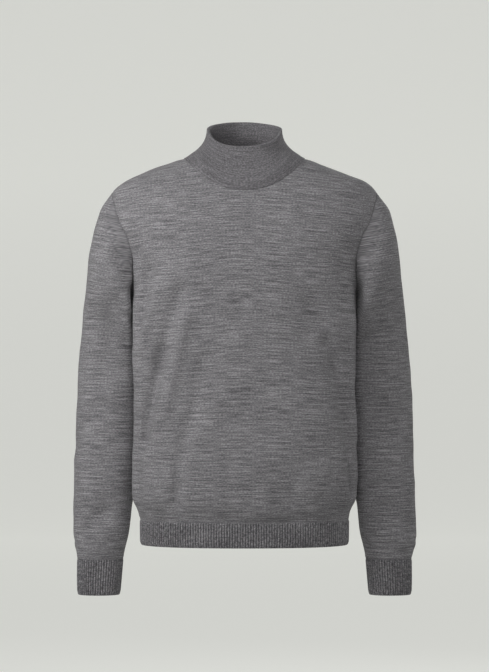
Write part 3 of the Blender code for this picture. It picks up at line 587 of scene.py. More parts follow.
def body_point(turn, height):
    """Point of the body's outer surface with its folds, which die out at the hem seam."""
    fade = smooth_step((height - HEM_SEAM_HEIGHT) / HEM_BLOUSE_HEIGHT)
    fold = fold_height(BODY_FOLDS, turn, height, BODY_FOLD_RADIUS) * fade
    return body_base(turn, height) + way_out(body_base, turn, height) * fold[..., None]


def turn_at(x, height, front):
    """Turn, on the left half, of the point of a section that lies at x."""
    roundness = FRONT_ROUNDNESS if front else body_value("back_roundness", height)
    share = np.clip(x / body_value("half_width", height), 0.0, 1.0)
    turn = np.degrees(np.arccos(share ** (roundness / 2.0)))
    return turn if front else -turn


def neck_height(x, front):
    """Height of the neck hole's edge at x."""
    share = np.abs(x) / NECK_HALF_WIDTH
    if front:
        return NECK_SIDE_HEIGHT - NECK_FRONT_DROP * (1.0 - share ** NECK_ROUNDNESS)
    return NECK_SIDE_HEIGHT + NECK_BACK_RISE * (1.0 - share ** 2.0)


def side_seam_turn(height):
    """Turn of the left side seam, which swings towards the middle of the side further down."""
    share = (height - HEM_SEAM_HEIGHT) / (UNDERARM_HEIGHT - HEM_SEAM_HEIGHT)
    share = np.clip(share, 0.0, 1.0)
    return SIDE_SEAM_TURN_HEM + (SIDE_SEAM_TURN_UNDERARM - SIDE_SEAM_TURN_HEM) * share


def armhole_edge(front, shares):
    """Turns and heights of the armhole seam at shares of its length from the underarm up."""
    rows = np.arange(len(ARMHOLE_SEAM))
    fine = np.linspace(0.0, rows[-1], FINE_STEPS + 1)
    column = "front_turn" if front else "back_turn"
    heights = smooth_curve(rows, table_column(ARMHOLE_COLUMNS, ARMHOLE_SEAM, "height"), fine)
    turns = smooth_curve(rows, table_column(ARMHOLE_COLUMNS, ARMHOLE_SEAM, column), fine)
    along = share_along(body_base(turns, heights))
    return np.interp(shares, along, turns), np.interp(shares, along, heights)


def top_edge(front):
    """Fine line of turns and heights, evenly spaced, from the middle of the neck hole to the
    shoulder point, and the share of it that lies along the neck hole."""
    neck_x = NECK_HALF_WIDTH * np.sin(np.linspace(0.0, np.pi / 2.0, FINE_STEPS))
    neck_heights = neck_height(neck_x, front)
    neck_turns = turn_at(neck_x, neck_heights, front)
    neck_turns[-1] = 0.0
    seam_heights = np.linspace(NECK_SIDE_HEIGHT, SHOULDER_POINT_HEIGHT, FINE_STEPS)[1:]
    turns = np.concatenate((neck_turns, 0.0 * seam_heights))
    heights = np.concatenate((neck_heights, seam_heights))
    along = share_along(body_base(turns, heights))
    even = np.linspace(0.0, 1.0, len(turns))
    neck_share = along[len(neck_x) - 1]
    return np.interp(even, along, turns), np.interp(even, along, heights), neck_share


def neck_edge(front):
    """Turns and heights of a quarter of the neck hole, from the middle to the shoulder seam."""
    turns, heights, neck_share = top_edge(front)
    shares = np.linspace(0.0, neck_share, NECK_SPACES + 1)
    along = np.linspace(0.0, 1.0, len(turns))
    return np.interp(shares, along, turns), np.interp(shares, along, heights)


def bottom_edge(front, shares):
    """Turns at the underarm's height from the middle to the side seam, at shares of the way."""
    middle = 90.0 if front else -90.0
    fine = np.linspace(middle, SIDE_SEAM_TURN_UNDERARM, FINE_STEPS + 1)
    return np.interp(shares, share_along(body_base(fine, UNDERARM_HEIGHT + 0.0 * fine)), fine)


def half_panel(front, shoulder_spaces):
    """Turns and heights of the left half of a body panel, from its hem to its top edge."""
    middle = 90.0 if front else -90.0
    top_turn, top_height, neck_share = top_edge(front)
    fine_shares = np.linspace(0.0, 1.0, len(top_turn))
    shoulder = fine_ends(shoulder_spaces) * (1.0 - neck_share) + neck_share
    shares = np.concatenate((np.linspace(0.0, neck_share, NECK_SPACES + 1)[:-1], shoulder))
    bottom_turn = bottom_edge(front, fine_shares)
    rises = fine_ends(YOKE_ROWS)
    side_turn, side_height = armhole_edge(front, rises)
    bottom_reach = (bottom_turn - middle) / (bottom_turn[-1] - middle)
    top_reach = (top_turn - middle) / (top_turn[-1] - middle)
    turns = []
    heights = []
    lower = HEM_SEAM_HEIGHT + (UNDERARM_HEIGHT - HEM_SEAM_HEIGHT) * fine_ends(LOWER_ROWS)
    for height in lower[:-1]:
        reach = (side_seam_turn(height) - middle) / (SIDE_SEAM_TURN_UNDERARM - middle)
        turns.append(middle + (np.interp(shares, fine_shares, bottom_turn) - middle) * reach)
        heights.append(np.full(len(shares), height))
    for row, rise in enumerate(rises):
        reach = (1.0 - rise) * bottom_reach + rise * top_reach
        row_turn = middle + (side_turn[row] - middle) * reach
        row_height = side_height[row] + (top_height - SHOULDER_POINT_HEIGHT) * rise ** YOKE_LEVEL
        along = share_along(body_base(row_turn, row_height))
        turns.append(np.interp(shares, along, row_turn))
        heights.append(np.interp(shares, along, row_height))
    return np.array(turns), np.array(heights)


def body_panel(front):
    """Turns and heights of the front or back panel, rows from the hem up."""
    shoulder_spaces = SHOULDER_SPACES_FRONT if front else SHOULDER_SPACES_BACK
    turns, heights = half_panel(front, shoulder_spaces)
    return (np.concatenate((180.0 - turns[:, :0:-1], turns), axis=1),
            np.concatenate((heights[:, :0:-1], heights), axis=1))


def armhole_loop(side, shares):
    """Points of an armhole seam, up the front from the underarm and then down the back, and the
    direction straight out of the cloth at each."""
    front_turn, front_height = armhole_edge(True, shares)
    back_turn, back_height = armhole_edge(False, shares)
    turns = np.concatenate((front_turn, back_turn[-2:0:-1]))
    heights = np.concatenate((front_height, back_height[-2:0:-1]))
    if side < 0.0:
        turns = 180.0 - turns
    return body_point(turns, heights), way_out(body_point, turns, heights)


# ---- sleeves and cuffs ----------------------------------------------------------------------
def oval_ring(middle, outward, front, back, turns, roundness):
    """Ring of points round a middle, from its three half axes."""
    across = signed_power(np.sin(np.radians(turns)), 2.0 / roundness)[:, None]
    forward = signed_power(np.cos(np.radians(turns)), 2.0 / roundness)[:, None]
    depth = np.where(forward >= 0.0, forward * front, -forward * back)
    return middle + across * outward + depth


def sleeve_ring(place, turns):
    """Ring of the left sleeve at a place in its table, without folds."""
    rows = np.arange(len(SLEEVE_RINGS))
    value = {}
    for name in SLEEVE_COLUMNS:
        value[name] = float(smooth_curve(rows, table_column(SLEEVE_COLUMNS, SLEEVE_RINGS, name),
                                         place))
    top = np.array([value["top_x"], value["middle_y"], value["top_z"]])
    under = np.array([value["under_x"], value["middle_y"], value["under_z"]])
    front = np.array([0.0, -value["front_half"], 0.0])
    back = np.array([0.0, value["back_half"], 0.0])
    return oval_ring((top + under) / 2.0, (top - under) / 2.0, front, back, turns,
                     value["roundness"])


def grid_normals(points, closed):
    """Directions straight out of a grid of points whose columns turn against the clock."""
    if closed:
        along_columns = np.roll(points, -1, axis=1) - np.roll(points, 1, axis=1)
    else:
        along_columns = np.gradient(points, axis=1)
    along_rows = np.gradient(points, axis=0)
    return unit(np.cross(along_columns, along_rows))


def sleeve(side, folds, creases):
    """Outer points of a sleeve, rows from the armhole down, columns round it."""
    count = YOKE_ROWS + 1
    flip = np.array([side, 1.0, 1.0])
    steps = np.linspace(0.0, 1.0, count)
    loop, outward = armhole_loop(side, steps)
    loop = loop * flip
    outward = outward * flip
    turns = np.concatenate((-90.0 + 180.0 * steps, (270.0 - 180.0 * steps)[-2:0:-1]))
    last = len(SLEEVE_RINGS) - 1
    numbers = last * fine_ends(last * RINGS_PER_ROW)
    rest = loop - sleeve_ring(0.0, turns)
    rings = []
    for number in numbers:
        cap = 1.0 - smooth_step(number / CAP_RINGS)
        rings.append(sleeve_ring(number, turns) + cap * rest)
    rings = np.array(rings)
    down = unit(rings[1] - rings[0])
    rings[0] = loop + SEAM_GAP * unit(outward + down)
    normals = -grid_normals(rings, True)
    numbers = numbers[:, None]
    fade = (smooth_step((numbers - PLAIN_CAP_RINGS) / (CAP_RINGS - PLAIN_CAP_RINGS))
            * smooth_step((last - numbers) / PLAIN_CUFF_RINGS))
    height = fold_height(folds, turns[None, :], rings[..., 2], SLEEVE_FOLD_RADIUS) * fade
    shift = RIGHT_CREASE_SHIFT if side < 0.0 else 0.0
    crease = fold_height(creases, turns[None, :] + shift, rings[..., 2], SLEEVE_FOLD_RADIUS)
    crease = crease * smooth_step(numbers) * smooth_step(last - numbers)
    return (rings + normals * (height + crease)[..., None]) * flip


def cuff(side):
    """Valley points of a ribbed cuff, rows from its seam down, columns round it."""
    fine_turns = np.linspace(0.0, 360.0, FINE_STEPS + 1)
    table_heights = table_column(CUFF_COLUMNS, CUFF_RINGS, "height")
    shares = fine_ends(CUFF_ROWS)
    heights = table_heights[0] + (table_heights[-1] - table_heights[0]) * shares
    rings = []
    ribs = 0
    for height in heights:
        value = {name: float(smooth_curve(table_heights[::-1],
                                          table_column(CUFF_COLUMNS, CUFF_RINGS, name)[::-1],
                                          height))
                 for name in CUFF_COLUMNS}
        middle = np.array([value["middle_x"], value["middle_y"], height])
        outward = np.array([value["half_width"], 0.0, 0.0])
        front = np.array([0.0, -value["half_depth"], 0.0])
        fine = oval_ring(middle, outward, front, -front, fine_turns, CUFF_ROUNDNESS)
        ribs = ribs or rib_count(fine)
        turns = even_steps(fine, COLUMNS_PER_RIB * ribs + 1)[:-1] * 360.0
        rings.append(oval_ring(middle, outward, front, -front, turns, CUFF_ROUNDNESS))
    return np.array(rings) * np.array([side, 1.0, 1.0])


# ---- hem ------------------------------------------------------------------------------------
def hem(front):
    """Turns and heights of half of the ribbed hem, rows from its lower edge up."""
    start = side_seam_turn(HEM_SEAM_HEIGHT)
    end = 180.0 - start
    if not front:
        start, end = end, 360.0 + start
    fine_turns = np.linspace(start, end, 2 * FINE_STEPS + 1)
    fine = body_base(fine_turns, HEM_SEAM_HEIGHT + 0.0 * fine_turns)
    ribs = rib_count(fine)
    lowest = BODY_SECTIONS[-1][0]
    heights = lowest + (HEM_SEAM_HEIGHT - lowest) * fine_ends(HEM_ROWS)
    turns = []
    for height in heights:
        fine = body_base(fine_turns, height + 0.0 * fine_turns)
        turns.append(start + even_steps(fine, COLUMNS_PER_RIB * ribs + 1) * (end - start))
    turns = np.array(turns)
    return turns, 0.0 * turns + heights[:, None]


# ---- collar ---------------------------------------------------------------------------------
def on_body(x, front, height):
    """Turn of the body's point at x and a height, on either half."""
    left_turn = turn_at(np.abs(x), height, front)
    return np.where(x >= 0.0, left_turn, 180.0 - left_turn)


def collar():
    """Middle surface of the folded collar, rows from the neck seam over the rim to the flap."""
    turns = np.linspace(0.0, 2.0 * np.pi, 4 * NECK_SPACES, endpoint=False)
    across = signed_power(np.cos(turns), 2.0 / RIM_ROUNDNESS)
    forward = signed_power(np.sin(turns), 2.0 / RIM_ROUNDNESS)
    front = forward >= 0.0

    front_turn, front_height = neck_edge(True)
    back_turn, back_height = neck_edge(False)
    neck_turn = np.concatenate((front_turn[:0:-1], (180.0 - front_turn)[:-1],
                                (180.0 - back_turn)[:0:-1], back_turn[:-1]))
    neck_z = np.concatenate((front_height[:0:-1], front_height[:-1],
                             back_height[:0:-1], back_height[:-1]))
    seam = body_point(neck_turn, neck_z)
    seam_outward = way_out(body_point, neck_turn, neck_z)
    seam_run = np.roll(seam, -1, axis=0) - np.roll(seam, 1, axis=0)

    flap_x = FLAP_HALF_WIDTH * across
    drop = FLAP_FRONT_DROP * (1.0 - np.abs(across) ** FLAP_ROUNDNESS)
    flap_z = FLAP_SIDE_HEIGHT - np.where(front, drop, 0.0)
    flap_turn = np.where(front, on_body(flap_x, True, flap_z), on_body(flap_x, False, flap_z))
    lift = way_out(body_base, flap_turn, flap_z)
    edge = body_point(flap_turn, flap_z) + lift * (FLAP_CLEARANCE + JERSEY_WALL / 2.0)

    fold_width = RIM_HALF_WIDTH - FOLD_RADIUS - JERSEY_WALL / 2.0
    fold_depth = RIM_HALF_DEPTH - FOLD_RADIUS - JERSEY_WALL / 2.0
    rim_z = RIM_SIDE_HEIGHT + np.where(front, -RIM_FRONT_DROP * np.abs(forward) ** RIM_FRONT_BEND,
                                       RIM_BACK_RISE * np.abs(forward) ** RIM_BACK_BEND)
    fold_z = rim_z - FOLD_RADIUS - JERSEY_WALL / 2.0
    fold = np.stack([fold_width * across, RIM_MIDDLE_Y - fold_depth * forward, fold_z], axis=-1)
    along = np.roll(fold, -1, axis=0) - np.roll(fold, 1, axis=0)
    outward = unit(np.stack([-along[:, 1], along[:, 0], 0.0 * fold_z], axis=-1))
    up = np.array([0.0, 0.0, 1.0])

    rows = []
    inner_top = fold - outward * FOLD_RADIUS
    base = (seam - seam_outward * JERSEY_WALL / 2.0
            + unit(np.cross(seam_run, seam_outward)) * SEAM_GAP)
    waist = inner_top - up * INNER_WALL_FALL + INNER_WALL_SLOPE * (seam - inner_top)
    for share in np.linspace(0.0, 1.0, COLLAR_WALL_SPACES + 1):
        rest = 1.0 - share
        rows.append(rest ** 2 * base + 2.0 * rest * share * waist + share ** 2 * inner_top)
    for angle in np.linspace(np.pi, 0.0, COLLAR_FOLD_SPACES + 1)[1:]:
        rows.append(fold + outward * FOLD_RADIUS * np.cos(angle) + up * FOLD_RADIUS * np.sin(angle))
    start = fold + outward * FOLD_RADIUS
    second = start - up * FLAP_FALL + outward * FLAP_SWELL
    lay = FLAP_LAY + FLAP_LAY_FRONT * np.maximum(forward, 0.0)
    third = edge + FLAP_REACH * (seam - edge) + lift * lay[:, None]
    for share in fine_ends(COLLAR_FLAP_SPACES)[1:]:
        rest = 1.0 - share
        rows.append(rest ** 3 * start + 3.0 * rest ** 2 * share * second
                    + 3.0 * rest * share ** 2 * third + share ** 3 * edge)
    rows = np.array(rows)
    normals = grid_normals(rows, True)
    normals[0] = -seam_outward
    return rows, normals


# ---- shells of cloth ------------------------------------------------------------------------
def add_object(name, data):
    """A new object in the scene."""
    made = bpy.data.objects.new(name, data)
    bpy.context.scene.collection.objects.link(made)
    return made


def edge_dip(points, bottom=0.0, top=0.0, sides=0.0):
    """How far the cloth rolls in at the edges that are joined to a neighbour."""
    up = distance_along(points, 0)
    across = distance_along(points, 1)
    dip = bottom * np.exp(-(up / DIP_WIDTH) ** 2)
    for edge, depth in ((up[-1:] - up, top), (across, sides), (across[:, -1:] - across, sides)):
        dip = np.maximum(dip, depth * np.exp(-(edge / DIP_WIDTH) ** 2))
    return dip


def away_from_edges(points, closed):
    """0 at the joined edges of a piece and 1 from a little way in."""
    up = distance_along(points, 0)
    near = np.minimum(up, up[-1:] - up)
    if not closed:
        across = distance_along(points, 1)
        near = np.minimum(near, np.minimum(across, across[:, -1:] - across))
    return smooth_step(near / CALM_WIDTH)


def knit_map(points, outward, lead, closed):
    """Distances along the courses and up the wales at each point, as if the knit lay flat."""
    way = unit(lead - outward * np.sum(lead * outward, axis=-1, keepdims=True))
    run = np.cross(way, outward)
    rises = np.sum(np.diff(points, axis=0) * unit(way[1:] + way[:-1]), axis=-1)
    up = np.concatenate((np.zeros((1, points.shape[1])), np.cumsum(rises, axis=0)))
    if closed:
        points = np.concatenate((points, points[:, :1]), axis=1)
        run = np.concatenate((run, run[:, :1]), axis=1)
        up = np.concatenate((up, up[:, :1]), axis=1)
    steps = np.sum(np.diff(points, axis=1) * unit(run[:, 1:] + run[:, :-1]), axis=-1)
    across = np.concatenate((np.zeros((len(points), 1)), np.cumsum(steps, axis=1)), axis=1)
    return across - across[:, across.shape[1] // 2][:, None], up


def shell(name, outer, normals, wall, closed, across, up, material):
    """A thin closed shell from a grid of outer points: the same grid moved in, and the rims."""
    rows, columns = outer.shape[:2]
    points = np.concatenate((outer.reshape(-1, 3), (outer - normals * wall).reshape(-1, 3)))
    number = np.arange(rows * columns).reshape(rows, columns)
    if closed:
        number = np.concatenate((number, number[:, :1]), axis=1)
    mapped = np.stack([across, up], axis=-1)
    near, far = number[:-1, :-1], number[:-1, 1:]
    above_far, above_near = number[1:, 1:], number[1:, :-1]
    cell = (near, far, above_far, above_near)
    map_cell = (mapped[:-1, :-1], mapped[:-1, 1:], mapped[1:, 1:], mapped[1:, :-1])
    inside = rows * columns

    def strip(corners):
        """One face for each cell, from the grids of its four corners."""
        return np.stack([c.ravel() for c in corners], axis=-1)

    def map_strip(corners):
        """The knit's map at the four corners of each cell."""
        return np.stack([c.reshape(-1, 2) for c in corners], axis=1)

    faces = [strip(cell), strip((near, above_near, above_far, far)) + inside]
    maps = [map_strip(map_cell), map_strip((map_cell[0], map_cell[3], map_cell[2], map_cell[1]))]

    def rim(first, second, map_first, map_second):
        """Faces that close the wall along one edge."""
        faces.append(strip((second, first, first + inside, second + inside)))
        maps.append(map_strip((map_second, map_first, map_first, map_second)))

    rim(number[0, :-1], number[0, 1:], mapped[0, :-1], mapped[0, 1:])
    rim(number[-1, 1:], number[-1, :-1], mapped[-1, 1:], mapped[-1, :-1])
    if not closed:
        rim(number[1:, 0], number[:-1, 0], mapped[1:, 0], mapped[:-1, 0])
        rim(number[:-1, -1], number[1:, -1], mapped[:-1, -1], mapped[1:, -1])
    faces = np.concatenate(faces)
    maps = np.concatenate(maps)

    row, column = rows // 2, columns // 2
    facing = np.cross(outer[row, column + 1] - outer[row, column],
                      outer[row + 1, column] - outer[row, column])
    if facing @ normals[row, column] < 0.0:
        faces = faces[:, ::-1]
        maps = maps[:, ::-1]
    data = bpy.data.meshes.new(name)
    data.from_pydata(points.tolist(), [], faces.tolist())
    layer = data.uv_layers.new(name=KNIT_MAP)
    layer.data.foreach_set("uv", maps.astype(np.float32).ravel())
    data.materials.append(material)
    return add_object(name, data)


def smooth(piece):
    """Smooth shading, with the rims of the cloth left crisp."""
    piece.data.shade_smooth()
    piece.data.set_sharp_from_angle(angle=np.radians(SHARP_ANGLE))
    return piece


def plain_mesh(piece):
    """The piece with its modifiers worked into a plain mesh at the origin."""
    graph = bpy.context.evaluated_depsgraph_get()
    data = bpy.data.meshes.new_from_object(piece.evaluated_get(graph))
    data.name = piece.name
    piece.modifiers.clear()
    if piece.type == "MESH":
        piece.data = data
        return piece
    name = piece.name
    bpy.data.objects.remove(piece, do_unlink=True)
    return add_object(name, data)


# ---- Geometry Nodes: ribs and linking stitches ----------------------------------------------
def new_tree(name, inputs):
    """A Geometry Nodes tree with a geometry in and out and named inputs for its sizes."""
    tree = bpy.data.node_groups.new(name, "GeometryNodeTree")
    tree.interface.new_socket("Geometry", in_out="INPUT", socket_type="NodeSocketGeometry")
    for label, kind, value in inputs:
        socket = tree.interface.new_socket(label, in_out="INPUT", socket_type=kind)
        if value is not None:
            socket.default_value = value
    tree.interface.new_socket("Geometry", in_out="OUTPUT", socket_type="NodeSocketGeometry")
    return tree, tree.nodes.new("NodeGroupInput"), tree.nodes.new("NodeGroupOutput")


def math_node(tree, operation, first, second=None, clamp=False):
    """A Math node whose inputs are sockets or numbers."""
    node = tree.nodes.new("ShaderNodeMath")
    node.operation = operation
    node.use_clamp = clamp
    for socket, value in zip(node.inputs, (first, second)):
        if isinstance(value, bpy.types.NodeSocket):
            tree.links.new(value, socket)
        elif value is not None:
            socket.default_value = value
    return node.outputs[0]


def scaled(tree, vector, factor):
    """A vector or colour times a factor."""
    node = tree.nodes.new("ShaderNodeVectorMath")
    node.operation = "SCALE"
    tree.links.new(vector, node.inputs[0])
    tree.links.new(factor, node.inputs["Scale"])
    return node.outputs[0]


def off_rib_middle(tree, girth, pitch):
    """How far a place lies from the middle of its rib: 0 on the middle, 1 in the valley."""
    place = math_node(tree, "FRACT", math_node(tree, "DIVIDE", girth, pitch))
    doubled = math_node(tree, "MULTIPLY", place, 2.0)
    return math_node(tree, "ABSOLUTE", math_node(tree, "SUBTRACT", doubled, 1.0))


def finish_tree(tree, geometry, given, out):
    """Realize the instances and set the material."""
    realize = tree.nodes.new("GeometryNodeRealizeInstances")
    finish = tree.nodes.new("GeometryNodeSetMaterial")
    tree.links.new(geometry, realize.inputs[0])
    tree.links.new(realize.outputs[0], finish.inputs["Geometry"])
    tree.links.new(given.outputs["Material"], finish.inputs["Material"])
    tree.links.new(finish.outputs[0], out.inputs[0])


def named_attribute(tree, name, kind):
    """A stored attribute of the cloth."""
    node = tree.nodes.new("GeometryNodeInputNamedAttribute")
    node.data_type = kind
    node.inputs["Name"].default_value = name
    return node.outputs["Attribute"]


def rib_tree():
    """Raises round-backed ribs out of a plain wall, one for each pitch along its girth."""
    tree, given, out = new_tree("knitted ribs", (
        ("Pitch", "NodeSocketFloat", RIB_PITCH),
        ("Rise", "NodeSocketFloat", RIB_RISE),
        ("Valley", "NodeSocketFloat", RIB_VALLEY),
        ("Roundness", "NodeSocketFloat", RIB_ROUNDNESS),
        ("Material", "NodeSocketMaterial", None),
    ))
    girth = named_attribute(tree, "girth", "FLOAT")
    proud = named_attribute(tree, "proud", "FLOAT")
    outward = named_attribute(tree, "outward", "FLOAT_VECTOR")
    off_middle = off_rib_middle(tree, girth, given.outputs["Pitch"])
    back = math_node(tree, "SUBTRACT", 1.0,
                     math_node(tree, "POWER", off_middle, given.outputs["Roundness"]))
    whole = math_node(tree, "ADD", given.outputs["Rise"], given.outputs["Valley"])
    height = math_node(tree, "SUBTRACT", math_node(tree, "MULTIPLY", back, whole),
                       given.outputs["Valley"])
    height = math_node(tree, "MULTIPLY", height, proud)
    raised = tree.nodes.new("GeometryNodeSetPosition")
    tree.links.new(given.outputs["Geometry"], raised.inputs["Geometry"])
    tree.links.new(scaled(tree, outward, height), raised.inputs["Offset"])
    finish_tree(tree, raised.outputs[0], given, out)
    return tree


def link_tree():
    """Lays small leaning loops of yarn along a seam."""
    tree, given, out = new_tree("linking stitches", (
        ("Spacing", "NodeSocketFloat", LINK_SPACING),
        ("Length", "NodeSocketFloat", LINK_LENGTH),
        ("Width", "NodeSocketFloat", LINK_WIDTH),
        ("Lean", "NodeSocketFloat", LINK_LEAN),
        ("Material", "NodeSocketMaterial", None),
    ))
    nodes, links = tree.nodes, tree.links
    line = nodes.new("GeometryNodeMeshToCurve")
    even = nodes.new("GeometryNodeResampleCurve")
    even.mode = "LENGTH"
    links.new(given.outputs["Geometry"], line.inputs["Mesh"])
    links.new(line.outputs[0], even.inputs["Curve"])
    links.new(given.outputs["Spacing"], even.inputs["Length"])

    loop = nodes.new("GeometryNodeMeshUVSphere")
    loop.inputs["Segments"].default_value = LINK_SEGMENTS
    loop.inputs["Rings"].default_value = LINK_RINGS
    loop.inputs["Radius"].default_value = 0.5
    size = nodes.new("ShaderNodeCombineXYZ")
    links.new(given.outputs["Length"], size.inputs["X"])
    links.new(given.outputs["Width"], size.inputs["Y"])
    links.new(given.outputs["Width"], size.inputs["Z"])

    tangent = nodes.new("GeometryNodeInputTangent")
    turn = nodes.new("FunctionNodeAxesToRotation")
    turn.primary_axis = "Z"
    turn.secondary_axis = "X"
    links.new(named_attribute(tree, "outward", "FLOAT_VECTOR"), turn.inputs["Primary Axis"])
    links.new(tangent.outputs[0], turn.inputs["Secondary Axis"])
    lean = nodes.new("FunctionNodeEulerToRotation")
    angles = nodes.new("ShaderNodeCombineXYZ")
    links.new(given.outputs["Lean"], angles.inputs["Z"])
    links.new(angles.outputs[0], lean.inputs[0])
    leaning = nodes.new("FunctionNodeRotateRotation")
    leaning.rotation_space = "LOCAL"
    links.new(turn.outputs[0], leaning.inputs["Rotation"])
    links.new(lean.outputs[0], leaning.inputs["Rotate By"])

    lay = nodes.new("GeometryNodeInstanceOnPoints")
    links.new(even.outputs[0], lay.inputs["Points"])
    links.new(loop.outputs["Mesh"], lay.inputs["Instance"])
    links.new(leaning.outputs[0], lay.inputs["Rotation"])
    links.new(size.outputs[0], lay.inputs["Scale"])
    finish_tree(tree, lay.outputs[0], given, out)
    return tree


def run_tree(piece, tree, settings):
    """Put a tree on a piece, set its named inputs and work it into a plain mesh."""
    modifier = piece.modifiers.new(tree.name, "NODES")
    modifier.node_group = tree
    for item in tree.interface.items_tree:
        if item.item_type == "SOCKET" and item.in_out == "INPUT" and item.name in settings:
            modifier[item.identifier] = settings[item.name]
    return plain_mesh(piece)


def store(data, name, kind, values):
    """Store a value on each vertex."""
    attribute = data.attributes.new(name, kind, "POINT")
    key = "vector" if kind == "FLOAT_VECTOR" else "value"
    attribute.data.foreach_set(key, np.asarray(values, dtype=np.float32).ravel())


def ribbed_shell(name, valleys, normals, closed, across, up, proud, tree, material):
    """A ribbed piece: a plain wall whose outer points the rib tree raises."""
    piece = shell(name, valleys, normals, RIB_WALL, closed, across, up, material)
    count = valleys.shape[0] * valleys.shape[1]
    girth = rib_girth(*valleys.shape[:2])
    store(piece.data, "girth", "FLOAT", np.concatenate((girth.ravel(), np.zeros(count))))
    store(piece.data, "proud", "FLOAT", np.concatenate((proud.ravel(), np.zeros(count))))
    outward = np.concatenate((normals.reshape(-1, 3), np.zeros((count, 3))))
    store(piece.data, "outward", "FLOAT_VECTOR", outward)
    run_tree(piece, tree, {"Pitch": RIB_PITCH, "Rise": RIB_RISE, "Material": material})
    return smooth(piece)


def seam_line(name, points, outward, closed, tree, material, **sizes):
    """Linking stitches laid along a line of points on the cloth."""
    data = bpy.data.meshes.new(name)
    count = len(points)
    edges = [(i, i + 1) for i in range(count - 1)] + ([(count - 1, 0)] if closed else [])
    data.from_pydata(points.tolist(), edges, [])
    store(data, "outward", "FLOAT_VECTOR", outward)
    piece = add_object(name, data)
    settings = {"Spacing": LINK_SPACING, "Length": LINK_LENGTH, "Width": LINK_WIDTH,
                "Lean": LINK_LEAN, "Material": material}
    settings.update(sizes)
    piece = run_tree(piece, tree, settings)
    piece.data.shade_smooth()
    return piece


# ---- materials ------------------------------------------------------------------------------
def new_material(name, roughness, shine):
    """A material with one plain shader."""
    material = bpy.data.materials.new(name)
    material.use_nodes = True
    tree = material.node_tree
    shader = tree.nodes["Principled BSDF"]
    shader.inputs["Roughness"].default_value = roughness
    shader.inputs["Metallic"].default_value = 0.0
    shader.inputs["Specular IOR Level"].default_value = shine
    return material, tree, shader


def colour_ramp(tree, value, stops):
    """The colour that a value picks from stops, each a position and its colour."""
    ramp = tree.nodes.new("ShaderNodeValToRGB")
    elements = ramp.color_ramp.elements
    for element, (position, colour) in zip(elements, (stops[0], stops[-1])):
        element.position = position
        element.color = colour
    for position, colour in stops[1:-1]:
        elements.new(position).color = colour
    tree.links.new(value, ramp.inputs[0])
    return ramp.outputs[0]


def knit_noise(tree, knit, length, height, detail, place):
    """Noise drawn out along the courses: length along them and height across, in metres."""
    mapping = tree.nodes.new("ShaderNodeMapping")
    mapping.inputs["Scale"].default_value = (1.0 / length, 1.0 / height, 1.0)
    mapping.inputs["Location"].default_value = (place[0], place[1], 0.0)
    noise = tree.nodes.new("ShaderNodeTexNoise")
    noise.noise_dimensions = "2D"
    noise.inputs["Scale"].default_value = 1.0
    noise.inputs["Detail"].default_value = detail
    noise.inputs["Roughness"].default_value = NOISE_ROUGHNESS
    tree.links.new(knit, mapping.inputs["Vector"])
    tree.links.new(mapping.outputs[0], noise.inputs["Vector"])
    return noise.outputs["Fac"]


def stitch_height(tree, knit, width, course):
    """Height of knit stitches: each wale is a chain of Vs with round legs."""
    split = tree.nodes.new("ShaderNodeSeparateXYZ")
    tree.links.new(knit, split.inputs[0])
    place = math_node(tree, "FRACT", math_node(tree, "DIVIDE", split.outputs[0], width))
    leg = math_node(tree, "ABSOLUTE", math_node(tree, "SUBTRACT", place, 0.5))
    rise = math_node(tree, "DIVIDE", split.outputs[1], course)
    slanted = math_node(tree, "SUBTRACT", rise, math_node(tree, "MULTIPLY", leg, STITCH_SLANT))
    across = math_node(tree, "SINE", math_node(tree, "MULTIPLY", slanted, 2.0 * np.pi))
    round_leg = math_node(tree, "SINE", math_node(tree, "MULTIPLY", leg, 2.0 * np.pi))
    return math_node(tree, "ADD", math_node(tree, "MULTIPLY", across, COURSE_SHARE), round_leg)


def weighted(tree, parts):
    """0.5 plus the sum of weights times how far each value lies from its middle."""
    total = 0.5
    for value, weight in parts:
        off = math_node(tree, "MULTIPLY", math_node(tree, "SUBTRACT", value, 0.5), weight)
        total = math_node(tree, "ADD", total, off)
    return total


